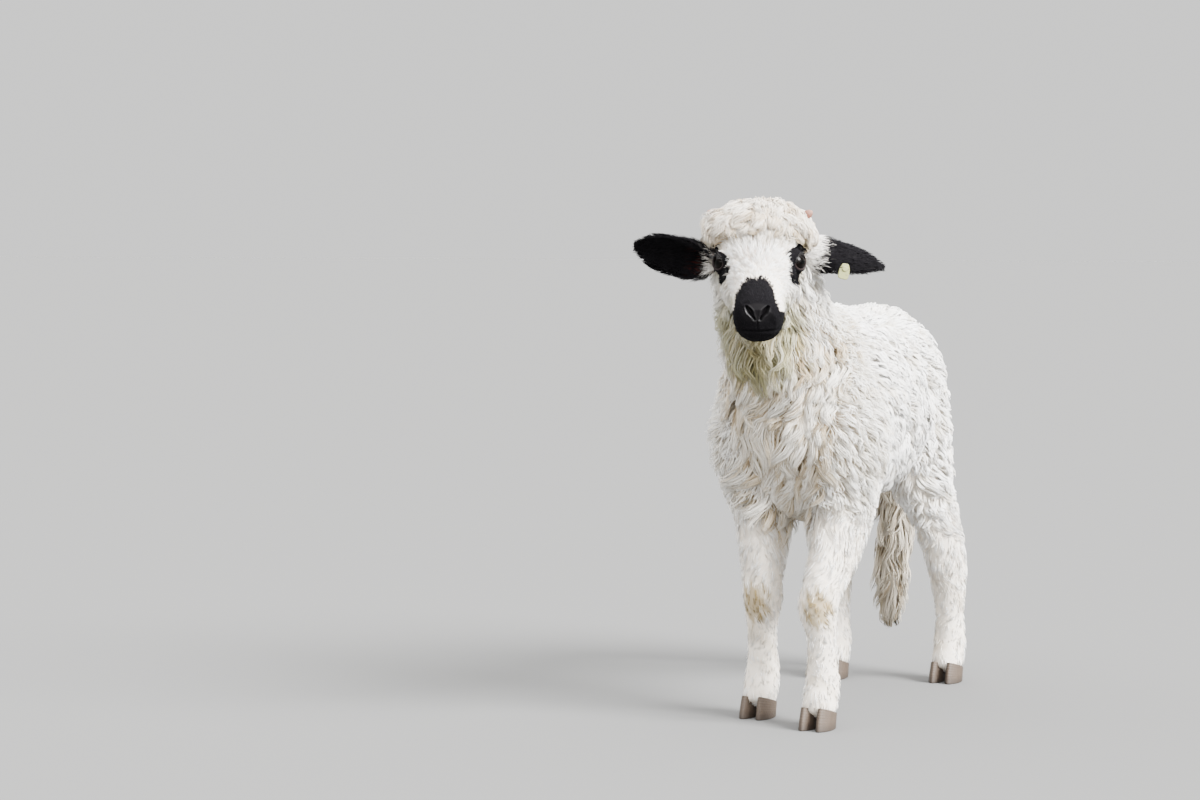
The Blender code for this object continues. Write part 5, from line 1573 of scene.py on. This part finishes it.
def tag_plate():
    """x = wide * |cos(a)|^0.45, y = long * |sin(a)|^0.45, signed: a rounded plate, narrower at the pin."""
    angle = full_turn(96)[None]
    edge = [(0.9, 0.0), (0.25, 0.15), (0, 0.35), (0, 0.65), (0.25, 0.85), (0.9, 1.0)]
    inset, level = np.array(edge).T[:, :, None]
    half_wide, half_long = 0.5 * TAG_WIDTH - TAG_EDGE * inset, 0.5 * TAG_LENGTH - TAG_EDGE * inset
    y = half_long * signed_power(np.sin(angle), 0.45)
    x = half_wide * signed_power(np.cos(angle), 0.45) * (1 - 0.28 * step(y, 0.001, 0.009))
    z = np.broadcast_to(0.001 + TAG_THICK * level, x.shape)
    rings = np.stack([x, y - 0.5 * (TAG_LENGTH - TAG_WIDTH), z], axis=-1)
    return turned_out(loft("tag", rings, (rings[0].mean(axis=0), rings[-1].mean(axis=0))))


def tag_finish():
    """Pale yellow-green plastic, blank, a little dirty."""
    finish = Finish("tag", Specular_IOR_Level=0.5)
    dirt = finish.ramp(finish.noise(240.0, 4.0), 0.52, 0.75)
    return finish.end(Base_Color=finish.mix(dirt * 0.6, (0.25, 0.255, 0.100), (0.13, 0.115, 0.052)),
                      Roughness=0.42 + 0.3 * dirt)


PIN = [  # radius and level, from within the button to the stud on the plate
    (0.0016, -TAG_WALL - 0.0020),
    (0.0016, 0.0030),
    (0.0034, 0.0031),
    (0.0034, 0.0037),
    (0.0026, 0.0043),
]
BUTTON = [  # the round back on the other side of the ear
    (0.0036, -TAG_WALL - 0.0034),
    (0.0048, -TAG_WALL - 0.0030),
    (0.0050, -TAG_WALL - 0.0024),
    (0.0050, -TAG_WALL - 0.0018),
    (0.0044, -TAG_WALL - 0.0012),
]
tag = combine(tag_plate(), [turned_part(PIN), turned_part(BUTTON)])
tag.name = tag.data.name = "tag"
tag.data.transform(tag_place())
tag.data.materials.clear()
tag.data.materials.append(tag_finish())
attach(tag, "root")
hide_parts("ear_tag")
print("tag", len(tag.data.polygons), "faces")

# %% [markdown]
# ## Floor, light and camera
# The floor is one pale sheet, so wide that its far edge runs into the pale world behind it. Two soft suns and
# a large lamp light the lamb like a bright overcast sky, which a single small lamp could not do without hard
# shadows in the wool. The camera stands where it sees the face straight on.

# %% Stage
CAMERA_AT = FEET_MIDDLE + [1.344, -3.400, 0.60]
CAMERA_TURN, CAMERA_DOWN = math.radians(26.6), math.radians(3.33)
FLOOR_REACH, FLOOR_GREY = 60, (0.147, 0.147, 0.145, 1.0)
floor_corners = [(FLOOR_REACH * x, FLOOR_REACH * y, 0) for x, y in ((-1, -1), (1, -1), (1, 1), (-1, 1))]
floor = new_object("floor", floor_corners, [(0, 1, 2, 3)])
floor_finish = Finish("floor", Base_Color=FLOOR_GREY, Roughness=1.0, Specular_IOR_Level=0.0)
floor.data.materials.append(floor_finish.material)

world = bpy.data.worlds.new("studio")
bpy.context.scene.world = world
world.use_nodes = True
world.node_tree.nodes["Background"].inputs["Color"].default_value = (1.1, 1.1, 1.09, 1.0)
world.node_tree.nodes["Background"].inputs["Strength"].default_value = 1.0

LAMPS_AIM = Vector((0, 0, 0.4))  # the point that every lamp faces
LAMPS = {  # kind, place, size or spread, power
    "key": ("SUN", (3.2, -0.4, 2.6), math.radians(30), 20.0),
    "sky": ("SUN", (-0.6, 0.4, 3.6), math.radians(120), 9.0),
    "front": ("AREA", (1.8, -4.6, 2.6), 2.4, 160.0),
}
for name, (kind, place, size, power) in LAMPS.items():
    lamp = bpy.data.objects.new(name, bpy.data.lights.new(name, kind))
    setattr(lamp.data, "angle" if kind == "SUN" else "size", size)
    lamp.data.energy = power
    lamp.location = place
    lamp.rotation_euler = (LAMPS_AIM - lamp.location).to_track_quat("-Z", "Y").to_euler()
    bpy.context.scene.collection.objects.link(lamp)

camera = bpy.data.objects.new("camera", bpy.data.cameras.new("camera"))
camera.data.lens, camera.data.sensor_width = 85, 36
camera.location = CAMERA_AT
camera.rotation_euler = (math.pi / 2 - CAMERA_DOWN, 0, CAMERA_TURN)
bpy.context.scene.collection.objects.link(camera)
bpy.context.scene.camera = camera

# %% The finished lamb
print("triangles", sum(len(item.data.loop_triangles) for item in pieces))
